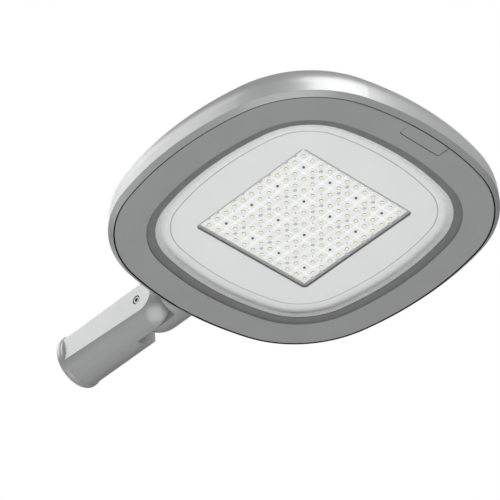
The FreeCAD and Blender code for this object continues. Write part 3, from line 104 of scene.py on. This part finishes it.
def vary_color(material, noise, low, high):
    """Let the base colour drift between two shades along a noise."""
    nodes, links = material.node_tree.nodes, material.node_tree.links
    ramp = nodes.new("ShaderNodeValToRGB")
    ramp.color_ramp.elements[0].position = DRIFT_START
    ramp.color_ramp.elements[1].position = DRIFT_END
    ramp.color_ramp.elements[0].color = (*low, 1.0)
    ramp.color_ramp.elements[1].color = (*high, 1.0)
    links.new(noise.outputs["Fac"], ramp.inputs["Fac"])
    links.new(ramp.outputs["Color"], nodes["Principled BSDF"].inputs["Base Color"])


def vary_roughness(material, noise, low, high):
    nodes, links = material.node_tree.nodes, material.node_tree.links
    span = nodes.new("ShaderNodeMapRange")
    span.inputs["To Min"].default_value = low
    span.inputs["To Max"].default_value = high
    links.new(noise.outputs["Fac"], span.inputs["Value"])
    links.new(span.outputs["Result"], nodes["Principled BSDF"].inputs["Roughness"])


def bump(material, noise, depth, strength=1.0):
    nodes, links = material.node_tree.nodes, material.node_tree.links
    relief = nodes.new("ShaderNodeBump")
    relief.inputs["Distance"].default_value = depth
    relief.inputs["Strength"].default_value = strength
    links.new(noise.outputs["Fac"], relief.inputs["Height"])
    links.new(relief.outputs["Normal"], nodes["Principled BSDF"].inputs["Normal"])


def place_axes(material):
    """The three object coordinates as separate outputs."""
    nodes, links = material.node_tree.nodes, material.node_tree.links
    place = nodes.new("ShaderNodeTexCoord")
    apart = nodes.new("ShaderNodeSeparateXYZ")
    links.new(place.outputs["Object"], apart.inputs["Vector"])
    return apart.outputs


def shade_by_height(material, steps):
    """Base colour by height above the lamp's face, from pairs of height in mm and grey."""
    nodes, links = material.node_tree.nodes, material.node_tree.links
    low, high = steps[0][0], steps[-1][0]
    span = nodes.new("ShaderNodeMapRange")
    span.inputs["From Min"].default_value = FACE_Z + low / 1000
    span.inputs["From Max"].default_value = FACE_Z + high / 1000
    links.new(place_axes(material)["Z"], span.inputs["Value"])
    ramp = nodes.new("ShaderNodeValToRGB")
    elements = ramp.color_ramp.elements
    for height, _ in steps[1:-1]:
        elements.new((height - low) / (high - low))
    for element, (_, grey) in zip(elements, steps):
        element.color = (grey, grey, grey, 1.0)
    links.new(span.outputs["Result"], ramp.inputs["Fac"])
    links.new(ramp.outputs["Color"], nodes["Principled BSDF"].inputs["Base Color"])


def paint_hinge_gap_shade(material):
    """Paint the rim gap's dark shade over the small door hinge that stands in it, by a box of the object's
    own coordinates.
    """
    nodes, links = material.node_tree.nodes, material.node_tree.links
    axes = place_axes(material)
    inside = None
    for axis, (middle, reach) in HINGE_BOX.items():
        near = nodes.new("ShaderNodeMath")
        near.operation = "COMPARE"
        near.inputs[1].default_value = middle
        near.inputs[2].default_value = reach
        links.new(axes[axis], near.inputs[0])
        if inside is None:
            inside = near
            continue
        both = nodes.new("ShaderNodeMath")
        both.operation = "MULTIPLY"
        links.new(inside.outputs["Value"], both.inputs[0])
        links.new(near.outputs["Value"], both.inputs[1])
        inside = both
    base = nodes["Principled BSDF"].inputs["Base Color"]
    mix = nodes.new("ShaderNodeMixRGB")
    mix.inputs["Color2"].default_value = HINGE_GAP_SHADE
    links.new(inside.outputs["Value"], mix.inputs["Fac"])
    links.new(base.links[0].from_socket, mix.inputs["Color1"])
    links.new(mix.outputs["Color"], base)


def shade(color, factor):
    return tuple(min(1.0, channel * factor) for channel in color)


def drifting(name, color, roughness, scale, low, high):
    """Plain finish whose colour drifts between two shades."""
    material = new_material(name, color, roughness)
    vary_color(material, noise_of(material, scale, 2.0), low, high)
    return material


def drifting_grey(name, grey, roughness, scale, low, high):
    return drifting(name, (grey,) * 3, roughness, scale, (low,) * 3, (high,) * 3)


def powder_coat(name, color, roughness, metallic):
    """Satin powder coat: orange-peel relief, faint drift of shade and gloss."""
    material = new_material(name, color, roughness, metallic)
    vary_color(material, noise_of(material, 14.0, 2.0), shade(color, 0.97), shade(color, 1.03))
    vary_roughness(material, noise_of(material, 60.0, 4.0), roughness - 0.04, roughness + 0.05)
    bump(material, noise_of(material, 900.0, 2.0), 0.00006, 0.35)
    return material


def build_materials():
    """Finishes by material slot, and by node where a node's own finish differs from its slot's."""
    silver = powder_coat("silver_powder_coat", (0.32, 0.322, 0.325), 0.34, 0.45)
    silver.node_tree.nodes["Principled BSDF"].inputs["Specular Tint"].default_value = (0.3, 0.3, 0.3, 1.0)
    grey = powder_coat("grey_powder_coat", (0.235, 0.238, 0.24), 0.48, 0.0)
    # Painted shade of the rim gap over the hinge's knuckles and pin.
    paint_hinge_gap_shade(silver)
    paint_hinge_gap_shade(grey)

    steel = new_material("zinc_plated_steel", (0.60, 0.60, 0.585), 0.34, 1.0)
    vary_color(steel, noise_of(steel, 220.0, 4.0), (0.53, 0.53, 0.50), (0.66, 0.66, 0.65))
    vary_roughness(steel, noise_of(steel, 500.0, 3.0), 0.26, 0.42)
    paint_hinge_gap_shade(steel)

    dull_steel = new_material("dull_pivot_steel", (0.24, 0.24, 0.235), 0.5, 1.0)
    vary_color(dull_steel, noise_of(dull_steel, 300.0, 4.0), (0.21, 0.21, 0.205), (0.27, 0.27, 0.265))

    # The lens screws' near-black steel is painted shade of the deep recesses they sit in.
    screw_steel_in_painted_shade = new_material("screw_steel_painted_recess_shade", (0.05, 0.05, 0.05), 0.45, 1.0)
    vary_color(screw_steel_in_painted_shade, noise_of(screw_steel_in_painted_shade, 900.0, 2.0), (0.04, 0.04, 0.04), (0.06, 0.06, 0.06))

    rubber = new_material("gasket_silicone", (0.128, 0.129, 0.132), 0.62)
    bump(rubber, noise_of(rubber, 1400.0, 2.0), 0.00005, 0.4)
    vary_color(rubber, noise_of(rubber, 40.0, 3.0), (0.120, 0.121, 0.124), (0.137, 0.138, 0.141))

    trim = new_material("black_moulded_plastic", (0.045, 0.045, 0.048), 0.55)
    bump(trim, noise_of(trim, 2000.0, 2.0), 0.00004, 0.5)
    vary_roughness(trim, noise_of(trim, 120.0, 2.0), 0.48, 0.62)

    glass = new_material("clear_glass", (0.93, 0.97, 0.95), 0.02, 0.0, Alpha=0.06)
    glass.node_tree.nodes["Principled BSDF"].inputs["Specular IOR Level"].default_value = 0.5
    vary_roughness(glass, noise_of(glass, 9.0, 2.0), 0.015, 0.035)

    cover = new_material("pale_moulded_sheet", (0.665, 0.67, 0.675), 0.46)
    vary_color(cover, noise_of(cover, 18.0, 3.0), (0.655, 0.66, 0.665), (0.675, 0.68, 0.685))
    bump(cover, noise_of(cover, 1600.0, 2.0), 0.00004, 0.35)

    wall = new_material("window_wall_plastic", (0.1, 0.1, 0.1), 0.6)
    shade_by_height(wall, WALL_SHADES)
    bump(wall, noise_of(wall, 2000.0, 2.0), 0.00004, 0.5)

    lens = new_material("clear_lens_plastic", (0.85, 0.85, 0.85), 0.16)
    # Painted highlight: a lighter band at the plates' flat web and edges.
    shade_by_height(lens, LENS_GREYS_WITH_HIGHLIGHT)
    vary_roughness(lens, noise_of(lens, 200.0, 2.0), 0.12, 0.22)

    board = new_material("white_solder_mask", (0.80, 0.80, 0.785), 0.42)
    vary_roughness(board, noise_of(board, 300.0, 3.0), 0.34, 0.5)
    vary_color(board, noise_of(board, 80.0, 2.0), (0.785, 0.785, 0.77), (0.815, 0.815, 0.80))

    chip = new_material("yellow_phosphor", (0.86, 0.72, 0.17), 0.35)
    vary_color(chip, noise_of(chip, 900.0, 2.0), (0.80, 0.66, 0.14), (0.90, 0.77, 0.21))

    bare = new_material("extruded_aluminium", (0.72, 0.72, 0.725), 0.36, 1.0)
    vary_roughness(bare, noise_of(bare, 240.0, 4.0, stretch=(0.05, 1, 1)), 0.28, 0.46)
    bump(bare, noise_of(bare, 900.0, 3.0, stretch=(0.03, 1, 1)), 0.00004, 0.5)

    sheet = new_material("galvanised_steel", (0.60, 0.61, 0.62), 0.42, 1.0)
    vary_color(sheet, noise_of(sheet, 70.0, 5.0, 0.7), (0.52, 0.53, 0.545), (0.68, 0.69, 0.70))
    vary_roughness(sheet, noise_of(sheet, 70.0, 4.0), 0.32, 0.52)

    case = new_material("driver_case_aluminium", (0.70, 0.70, 0.69), 0.45, 0.9)
    vary_roughness(case, noise_of(case, 260.0, 3.0, stretch=(1, 0.05, 1)), 0.38, 0.52)

    pale = new_material("terminal_plastic", (0.80, 0.80, 0.76), 0.45)
    vary_roughness(pale, noise_of(pale, 150.0, 2.0), 0.4, 0.52)

    nylon = new_material("gland_nylon", (0.05, 0.05, 0.055), 0.5)
    vary_roughness(nylon, noise_of(nylon, 150.0, 2.0), 0.44, 0.58)

    return {
        "silver_paint": silver, "grey_paint": grey, "zinc_steel": steel, "dark_gasket": rubber,
        "dark_trim": trim, "clear_glass": glass, "pale_plastic": cover, "lens_plastic": lens,
        "board_white": board, "chip_yellow": chip, "bare_aluminium": bare, "galvanised_sheet": sheet,
        "driver_case": case, "terminal_plastic": pale, "gland_plastic": nylon,
        "lens_screw_steel": screw_steel_in_painted_shade, "pivot_screw": dull_steel, "window_trim": wall,
    }


finishes = build_materials()
for entry in frame["record"]["subparts"]:
    obj = frame["nodes"][entry["node"]]
    obj.data.materials.clear()
    obj.data.materials.append(finishes.get(entry["node"], finishes[entry["material_slot"]]))


# Lens plates

def square_loop(half, corner, steps=5):
    """Rounded square about the origin, anticlockwise."""
    points = []
    for quarter in range(4):
        for step in range(steps):
            angle = math.pi / 2 * (quarter + step / (steps - 1))
            middle = math.pi / 2 * quarter + math.pi / 4
            cx = (half - corner) * (1 if math.cos(middle) > 0 else -1)
            cy = (half - corner) * (1 if math.sin(middle) > 0 else -1)
            points.append((cx + corner * math.cos(angle), cy + corner * math.sin(angle)))
    return points


def notched_loop(half, notch_at, notches, steps=6):
    """Square with half-round notches in its sides, one notch size for each pair of sides."""
    points = []
    for quarter in range(4):
        notch = notches[quarter % 2]
        turn = Matrix.Rotation(math.pi / 2 * quarter, 2)
        side = [(half, -half)]
        for centre in (-notch_at, notch_at):
            for step in range(steps + 1):
                angle = -math.pi / 2 - math.pi * step / steps
                side.append((half + notch * math.cos(angle), centre + notch * math.sin(angle)))
        points += [tuple(turn @ Vector(point)) for point in side]
    return points


def add_loops(mesh, loops, cap_first=True, cap_last=True):
    """Skin a stack of point loops, all of one length, with caps."""
    rings = [[mesh.verts.new(point) for point in loop] for loop in loops]
    count = len(rings[0])
    for lower, upper in zip(rings, rings[1:]):
        for i in range(count):
            j = (i + 1) % count
            mesh.faces.new((lower[i], lower[j], upper[j], upper[i]))
    if cap_first:
        mesh.faces.new(list(reversed(rings[0])))
    if cap_last:
        mesh.faces.new(rings[-1])


def lift(loop, height, x=0.0, y=0.0, grow=1.0):
    """A flat loop set round a place of the head, at a height above its face."""
    return [spot(x + px * grow, y + py * grow, height) for px, py in loop]


def circled(loop, radius):
    """The same points drawn in to a circle about the origin."""
    return [(radius * x / math.hypot(x, y), radius * y / math.hypot(x, y)) for x, y in loop]


def circle_loop(radius, count):
    return [(radius * math.cos(math.tau * i / count), radius * math.sin(math.tau * i / count))
            for i in range(count)]


def finish_piece(name, mesh, body, material, smooth):
    """Turn a mesh into a piece that rides on a body; edges sharper than smooth, in degrees, stay sharp."""
    bmesh.ops.recalc_face_normals(mesh, faces=mesh.faces)
    data = bpy.data.meshes.new(name)
    mesh.to_mesh(data)
    mesh.free()
    piece = bpy.data.objects.new(name, data)
    bpy.context.scene.collection.objects.link(piece)
    data.materials.append(material)
    for polygon in data.polygons:
        polygon.use_smooth = True
    data.set_sharp_from_angle(angle=math.radians(smooth))
    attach(piece, body)
    return piece


# Half width of a plate and the radii of the notches in its sides.
PLATE_HALF = 0.02625
NOTCHES = (0.0013, 0.0028)
# A plate's eight cells, counted from its screw, and the sixteen plates, in the array's own coordinates.
CELL_PLACES = [(i, j) for j in (-1, 0, 1) for i in (-1, 0, 1) if (i, j) != (0, 0)]
PLATE_PLACES = [(PITCH * 3 * (i - 1.5), PITCH * 3 * (j - 1.5)) for j in range(4) for i in range(4)]
# Heights above the face, and how far cells and pads are sunk into their plate.
CELL_FACE, PLATE_FACE, FOOT_BACK = 0.0134, 0.0149, 0.0170
DISH_FLOOR, PAD_FACE = 0.0147, 0.0145
SUNK, PLATE_EDGE, EDGE_SHRINK = 0.0002, 0.0003, 0.992
# Rings of a cell, from the plate to its front: half width, corner radius and height.
CELL_RINGS = [
    (0.0078, 0.0032, PLATE_FACE + SUNK),
    (0.0074, 0.0034, PLATE_FACE - 0.0007),
    (0.0067, 0.0036, CELL_FACE + 0.0002),
    (0.0058, 0.0038, CELL_FACE),
]
# The dish in a cell's front: radius and height of its rim and of its floor.
DISH_RINGS = [(0.0040, CELL_FACE), (0.0034, DISH_FLOOR)]
# The pad round the screw: half width and corner radius of its foot and face, radii of its screw hole.
PAD_FOOT, PAD_TOP = (0.0077, 0.0032), (0.0074, 0.0034)
HOLE_RIM, HOLE_FLOOR = 0.0034, 0.0031
# Radius and height along the dark cone of a lens and along the yellow chip at its tip.
CONE_PROFILE = [(0.0027, 0.0148), (0.0027, 0.0145), (0.00235, 0.01385), (0.0021, 0.01385)]
TIP_PROFILE = [(0.00222, 0.0141), (0.00222, 0.01378), (0.0016, 0.0136), (0.0007, 0.0135)]
DOT_SIDES = 14
# The feet in the notches: how far they reach past a notch, the heights of their front and back.
FOOT_REACH, FOOT_HEIGHTS, FOOT_SIDES = 0.0003, (0.0146, 0.0160), 20
# The strip round the plates: half width and corner radius of its edges, heights of its back and front.
BORDER_OUTER, BORDER_INNER = (0.1108, 0.0069), (0.1052, 0.0020)
BORDER_BACK, BORDER_FRONT = 0.0160, 0.0154


def build_plate(index, x, y):
    """One lens plate: notched sheet, eight pillow cells with a dish each, and a pad round the screw."""
    mesh = bmesh.new()
    outline = notched_loop(PLATE_HALF, PITCH / 2, NOTCHES)
    add_loops(mesh, [lift(outline, FOOT_BACK, x, y), lift(outline, PLATE_FACE + PLATE_EDGE, x, y),
                     lift(outline, PLATE_FACE, x, y, EDGE_SHRINK)])
    top = square_loop(*CELL_RINGS[-1][:2])
    for i, j in CELL_PLACES:
        cx, cy = x + PITCH * i, y + PITCH * j
        rings = [lift(square_loop(half, corner), height, cx, cy) for half, corner, height in CELL_RINGS]
        rings += [lift(circled(top, radius), height, cx, cy) for radius, height in DISH_RINGS]
        add_loops(mesh, rings, cap_first=False)
    pad = square_loop(*PAD_TOP)
    add_loops(mesh, [
        lift(square_loop(*PAD_FOOT), PLATE_FACE + SUNK, x, y),
        lift(pad, PAD_FACE, x, y),
        lift(circled(pad, HOLE_RIM), PAD_FACE, x, y),
        lift(circled(pad, HOLE_FLOOR), PLATE_FACE + SUNK, x, y),
    ], cap_first=False, cap_last=False)
    piece = finish_piece(f"lens_sheet_{index:02d}", mesh, "head", finishes["lens_plastic"],
                         50)
    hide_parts(f"lens_plate_{index:02d}")


for number, (plate_x, plate_y) in enumerate(PLATE_PLACES, start=1):
    build_plate(number, plate_x, plate_y)


def build_dots():
    """Each lens's small dark cone, and the yellow chip that shows at its tip."""
    cones, tips = bmesh.new(), bmesh.new()
    for x, y in PLATE_PLACES:
        for i, j in CELL_PLACES:
            cx, cy = x + PITCH * i, y + PITCH * j
            for mesh, profile in [(cones, CONE_PROFILE), (tips, TIP_PROFILE)]:
                add_loops(mesh, [lift(circle_loop(radius, DOT_SIDES), height, cx, cy)
                                 for radius, height in profile])
    finish_piece("led_cones", cones, "head", cone_material, 30)
    finish_piece("led_spots", tips, "head", spot_material, 60)


def build_feet():
    """Grey plate feet that show in the notches between neighbouring plates."""
    mesh = bmesh.new()
    for step in range(5):
        edge = PITCH * 3 * (step - 2)
        for place in [PITCH * (3 * (k - 1.5) + side) for k in range(4) for side in (-0.5, 0.5)]:
            for radius, x, y in [(NOTCHES[0], edge, place), (NOTCHES[1], place, edge)]:
                add_loops(mesh, [lift(circle_loop(radius + FOOT_REACH, FOOT_SIDES), height, x, y)
                                 for height in FOOT_HEIGHTS])
    finish_piece("plate_feet", mesh, "head", foot_material, 60)


def build_border():
    """Grey strip on the window's floor, between the plates and the window's wall."""
    mesh = bmesh.new()
    outer, inner = square_loop(*BORDER_OUTER), square_loop(*BORDER_INNER)
    add_loops(mesh, [lift(inner, BORDER_BACK), lift(outer, BORDER_BACK), lift(outer, BORDER_FRONT),
                     lift(inner, BORDER_FRONT), lift(inner, BORDER_BACK)],
              cap_first=False, cap_last=False)
    bmesh.ops.remove_doubles(mesh, verts=mesh.verts, dist=1e-6)
    finish_piece("array_border", mesh, "head", border_material, 30)


spot_material = drifting("chip_through_lens", (0.90, 0.90, 0.45), 0.25, 700.0,
                         (0.86, 0.86, 0.36), (0.95, 0.95, 0.60))
cone_material = drifting("lens_cone", (0.18, 0.18, 0.13), 0.4, 700.0,
                         (0.16, 0.16, 0.115), (0.20, 0.20, 0.145))
foot_material = drifting_grey("grey_lens_foot", 0.44, 0.5, 300.0, 0.42, 0.46)
border_material = drifting_grey("grey_border", 0.30, 0.5, 200.0, 0.285, 0.315)
build_dots()
build_feet()
build_border()


# Painted shadow strips in the rim gap

# Centres of the head outline's side arcs and corner arcs, from its middle, and the turn where they meet.
SIDE_CENTRE, CORNER_CENTRE = 0.24085, 0.0769
TURN = math.atan2(CORNER_CENTRE, SIDE_CENTRE + CORNER_CENTRE)
# Half widths of the gap's two walls and of the hinge, a shadow strip's thickness and its root in the wall.
LIP_HALF, DOOR_HALF = 0.2524, 0.2502
HINGE_HALF, GAP_SHADOW_THICKNESS, ROOT = 0.0215, 0.0003, 0.0001
HINGE_TURN = HINGE_HALF / (DOOR_HALF + SIDE_CENTRE)
# Points round the head of a lining or ring.
RING_STEPS = 240


def outline_point(half, turn):
    """A point of the head's rounded square of one half width; turn 0 is the middle of the rear side."""
    quarter = round(turn / (math.pi / 2))
    angle = turn - quarter * math.pi / 2
    corner_radius = half + SIDE_CENTRE - math.hypot(SIDE_CENTRE + CORNER_CENTRE, CORNER_CENTRE)
    if abs(angle) <= TURN:
        x = (half + SIDE_CENTRE) * math.cos(angle) - SIDE_CENTRE
        y = (half + SIDE_CENTRE) * math.sin(angle)
    else:
        x = CORNER_CENTRE + corner_radius * math.cos(angle)
        y = math.copysign(CORNER_CENTRE, angle) + corner_radius * math.sin(angle)
    return Matrix.Rotation(math.pi + quarter * math.pi / 2, 2) @ Vector((x, y))


def build_gap_shadow_strip(name, body, near, far, low, high, grey):
    """Thin dark strip of painted shadow along one wall of the rim gap, open at the rear where the hinge
    stands.
    """
    mesh = bmesh.new()
    turns = [HINGE_TURN + (math.tau - 2 * HINGE_TURN) * i / RING_STEPS for i in range(RING_STEPS + 1)]
    rings = []
    for turn in turns:
        inner, outer = outline_point(near, turn), outline_point(far, turn)
        rings.append([mesh.verts.new(spot(*point, height)) for point, height in
                      [(inner, low), (outer, low), (outer, high), (inner, high)]])
    for one, other in zip(rings, rings[1:]):
        for i in range(4):
            mesh.faces.new((one[i], one[(i + 1) % 4], other[(i + 1) % 4], other[i]))
    mesh.faces.new(rings[0])
    mesh.faces.new(list(reversed(rings[-1])))
    material = drifting_grey(name, grey, 0.7, 60.0, grey * 0.9, grey * 1.1)
    finish_piece(name, mesh, body, material, 30)


# Painted shadow in the rim gap: a near-black strip on the lip's wall and a dark strip on the door's edge.
build_gap_shadow_strip("lip_gap_shadow", "head", LIP_HALF - GAP_SHADOW_THICKNESS, LIP_HALF + ROOT, 0.0002, 0.0078, 0.008)
build_gap_shadow_strip("door_edge_gap_shadow", "door", DOOR_HALF - ROOT, DOOR_HALF + GAP_SHADOW_THICKNESS, 0.0010, 0.0058, 0.08)


# Light cover

def build_ring(name, body, loops, material):
    """Closed ring round the head through a loop of half widths and heights."""
    mesh = bmesh.new()
    rings = [[mesh.verts.new(spot(*outline_point(half, math.tau * i / RING_STEPS), height))
              for half, height in loops] for i in range(RING_STEPS)]
    for i in range(RING_STEPS):
        one, other = rings[i], rings[(i + 1) % RING_STEPS]
        for j in range(len(loops)):
            k = (j + 1) % len(loops)
            mesh.faces.new((one[j], one[k], other[k], other[j]))
    finish_piece(name, mesh, body, material, 30)


def flat_ring(near, far, low, high):
    """Loop of a flat ring between two half widths and two heights."""
    return [(near, low), (far, low), (far, high), (near, high)]


# Half width and height where the cover's margin starts, and how gently its front curves back.
MARGIN_START, MARGIN_FACE, MARGIN_CURVE = 0.1717, 0.01083, 0.22
MARGIN_REACHES = (0.0, 0.004, 0.008, 0.012, 0.016, 0.020, 0.024, 0.028, 0.032, 0.035)
MARGIN_BACK = [(0.2067, 0.0176), (0.1980, 0.0179), (0.1900, 0.0145), (0.1800, 0.0121), (0.1717, 0.0113)]
# Pale see-through rings just in front of the glass, painted light over the gasket's shadow on the cover's
# margin: inner and outer half width and opacity, and their two heights.
LIGHT_VEIL_RINGS = [(0.1832, 0.1862, 0.22), (0.1862, 0.1892, 0.33), (0.1892, 0.1923, 0.36)]
VEIL_LOW, VEIL_HIGH = 0.00415, 0.00428

groove_material = drifting_grey("groove_shadow", 0.25, 0.6, 40.0, 0.23, 0.27)
build_ring("groove_line", "head", flat_ring(0.16925, 0.17055, 0.01135, 0.01155),
           groove_material)
margin_front = [(MARGIN_START + reach, MARGIN_FACE + reach * reach / MARGIN_CURVE)
                for reach in MARGIN_REACHES]
build_ring("cover_margin", "head", margin_front + MARGIN_BACK, finishes["pale_plastic"])

# Painted light: pale veils that lift the gasket's shadow on the cover's margin.
for step, (near, far, veil) in enumerate(LIGHT_VEIL_RINGS, start=1):
    light_veil = new_material(f"painted_light_veil_{step}", (0.74, 0.745, 0.75), 0.5, 0.0, Alpha=veil)
    vary_roughness(light_veil, noise_of(light_veil, 300.0, 2.0), 0.45, 0.6)
    build_ring(f"glass_light_veil_{step}", "door", flat_ring(near, far, VEIL_LOW, VEIL_HIGH),
               light_veil)


# Stage

FLOOR_HALF, FLOOR_LEVEL = 30.0, -4.6
# Brightness of the surroundings by elevation in degrees.
SKY = ((0, 0.12), (30, 1.0), (47, 1.0), (62, 0.35), (90, 0.35))
# Soft square lamps round one point: name, azimuth and elevation in degrees, size, watts.
LAMP_AIM, LAMP_DISTANCE = Vector((0.45, 0.0, 0.0)), 4.0
LAMPS = [
    ("front", -8, 39, 3.2, 165),
    ("rear", -133, 39, 3.0, 62),
    ("left", -180, 34, 3.2, 85),
    ("low left", -157, -18, 2.6, 19),
    ("under", -60, -68, 5.0, 116),
]
# The camera's own axes in the world: to the right, down and ahead in the photograph.
RIGHT = Vector((0.69274374, 0.71782729, -0.06949882))
DOWN = Vector((-0.49603947, 0.40430824, -0.76842677))
AHEAD = Vector((-0.52349876, 0.56679699, 0.63615267))
# The camera's place, and its focal length in pixels of the picture's width.
CAMERA_PLACE = (0.4875 + 142.436 * PITCH, -161.038 * PITCH, -0.03115 - 180.053 * PITCH)
SENSOR_WIDTH, FOCAL_PIXELS, PICTURE_WIDTH = 36.0, 3433.4, 500


def build_floor():
    """Plain pale floor far below the lamp."""
    mesh = bpy.data.meshes.new("floor")
    corners = [(-1, -1), (1, -1), (1, 1), (-1, 1)]
    mesh.from_pydata([(FLOOR_HALF * x, FLOOR_HALF * y, FLOOR_LEVEL) for x, y in corners],
                     [], [(0, 1, 2, 3)])
    floor = bpy.data.objects.new("floor", mesh)
    bpy.context.scene.collection.objects.link(floor)
    mesh.materials.append(drifting_grey("pale_floor", 0.62, 0.9, 1.5, 0.61, 0.63))


def build_world():
    """Plain soft light all round, by elevation: dim below the horizon, a white band, a softer top."""
    world = bpy.data.worlds.new("studio")
    bpy.context.scene.world = world
    world.use_nodes = True
    nodes, links = world.node_tree.nodes, world.node_tree.links
    way = nodes.new("ShaderNodeTexCoord")
    apart = nodes.new("ShaderNodeSeparateXYZ")
    links.new(way.outputs["Generated"], apart.inputs["Vector"])
    ramp = nodes.new("ShaderNodeValToRGB")
    elements = ramp.color_ramp.elements
    for elevation, _ in SKY[1:-1]:
        elements.new(math.sin(math.radians(elevation)))
    for element, (_, level) in zip(elements, SKY):
        element.color = (level, level, level, 1.0)
    links.new(apart.outputs["Z"], ramp.inputs["Fac"])
    links.new(ramp.outputs["Color"], nodes["Background"].inputs["Color"])


def add_lamp(name, azimuth, elevation, size, watts):
    """Square soft lamp in a direction given in degrees, azimuth from +X towards +Y."""
    across, up = math.radians(azimuth), math.radians(elevation)
    way = Vector((math.cos(up) * math.cos(across), math.cos(up) * math.sin(across), math.sin(up)))
    data = bpy.data.lights.new(name, "AREA")
    data.shape = "SQUARE"
    data.size = size
    data.energy = watts
    lamp = bpy.data.objects.new(name, data)
    bpy.context.scene.collection.objects.link(lamp)
    lamp.location = LAMP_AIM + way * LAMP_DISTANCE
    lamp.rotation_euler = (-way).to_track_quat("-Z", "Y").to_euler()


def add_camera():
    """Camera where the photograph was taken from, looking up at the lamp's face."""
    data = bpy.data.cameras.new("camera")
    data.sensor_width = SENSOR_WIDTH
    data.lens = SENSOR_WIDTH * FOCAL_PIXELS / PICTURE_WIDTH
    data.clip_end = 200.0
    camera = bpy.data.objects.new("camera", data)
    bpy.context.scene.collection.objects.link(camera)
    camera.matrix_world = Matrix([[RIGHT[k], -DOWN[k], -AHEAD[k], CAMERA_PLACE[k]] for k in range(3)]
                                 + [[0, 0, 0, 1]])
    bpy.context.scene.camera = camera


build_floor()
build_world()
for lamp_values in LAMPS:
    add_lamp(*lamp_values)
add_camera()

bpy.context.scene.view_settings.view_transform = "Standard"
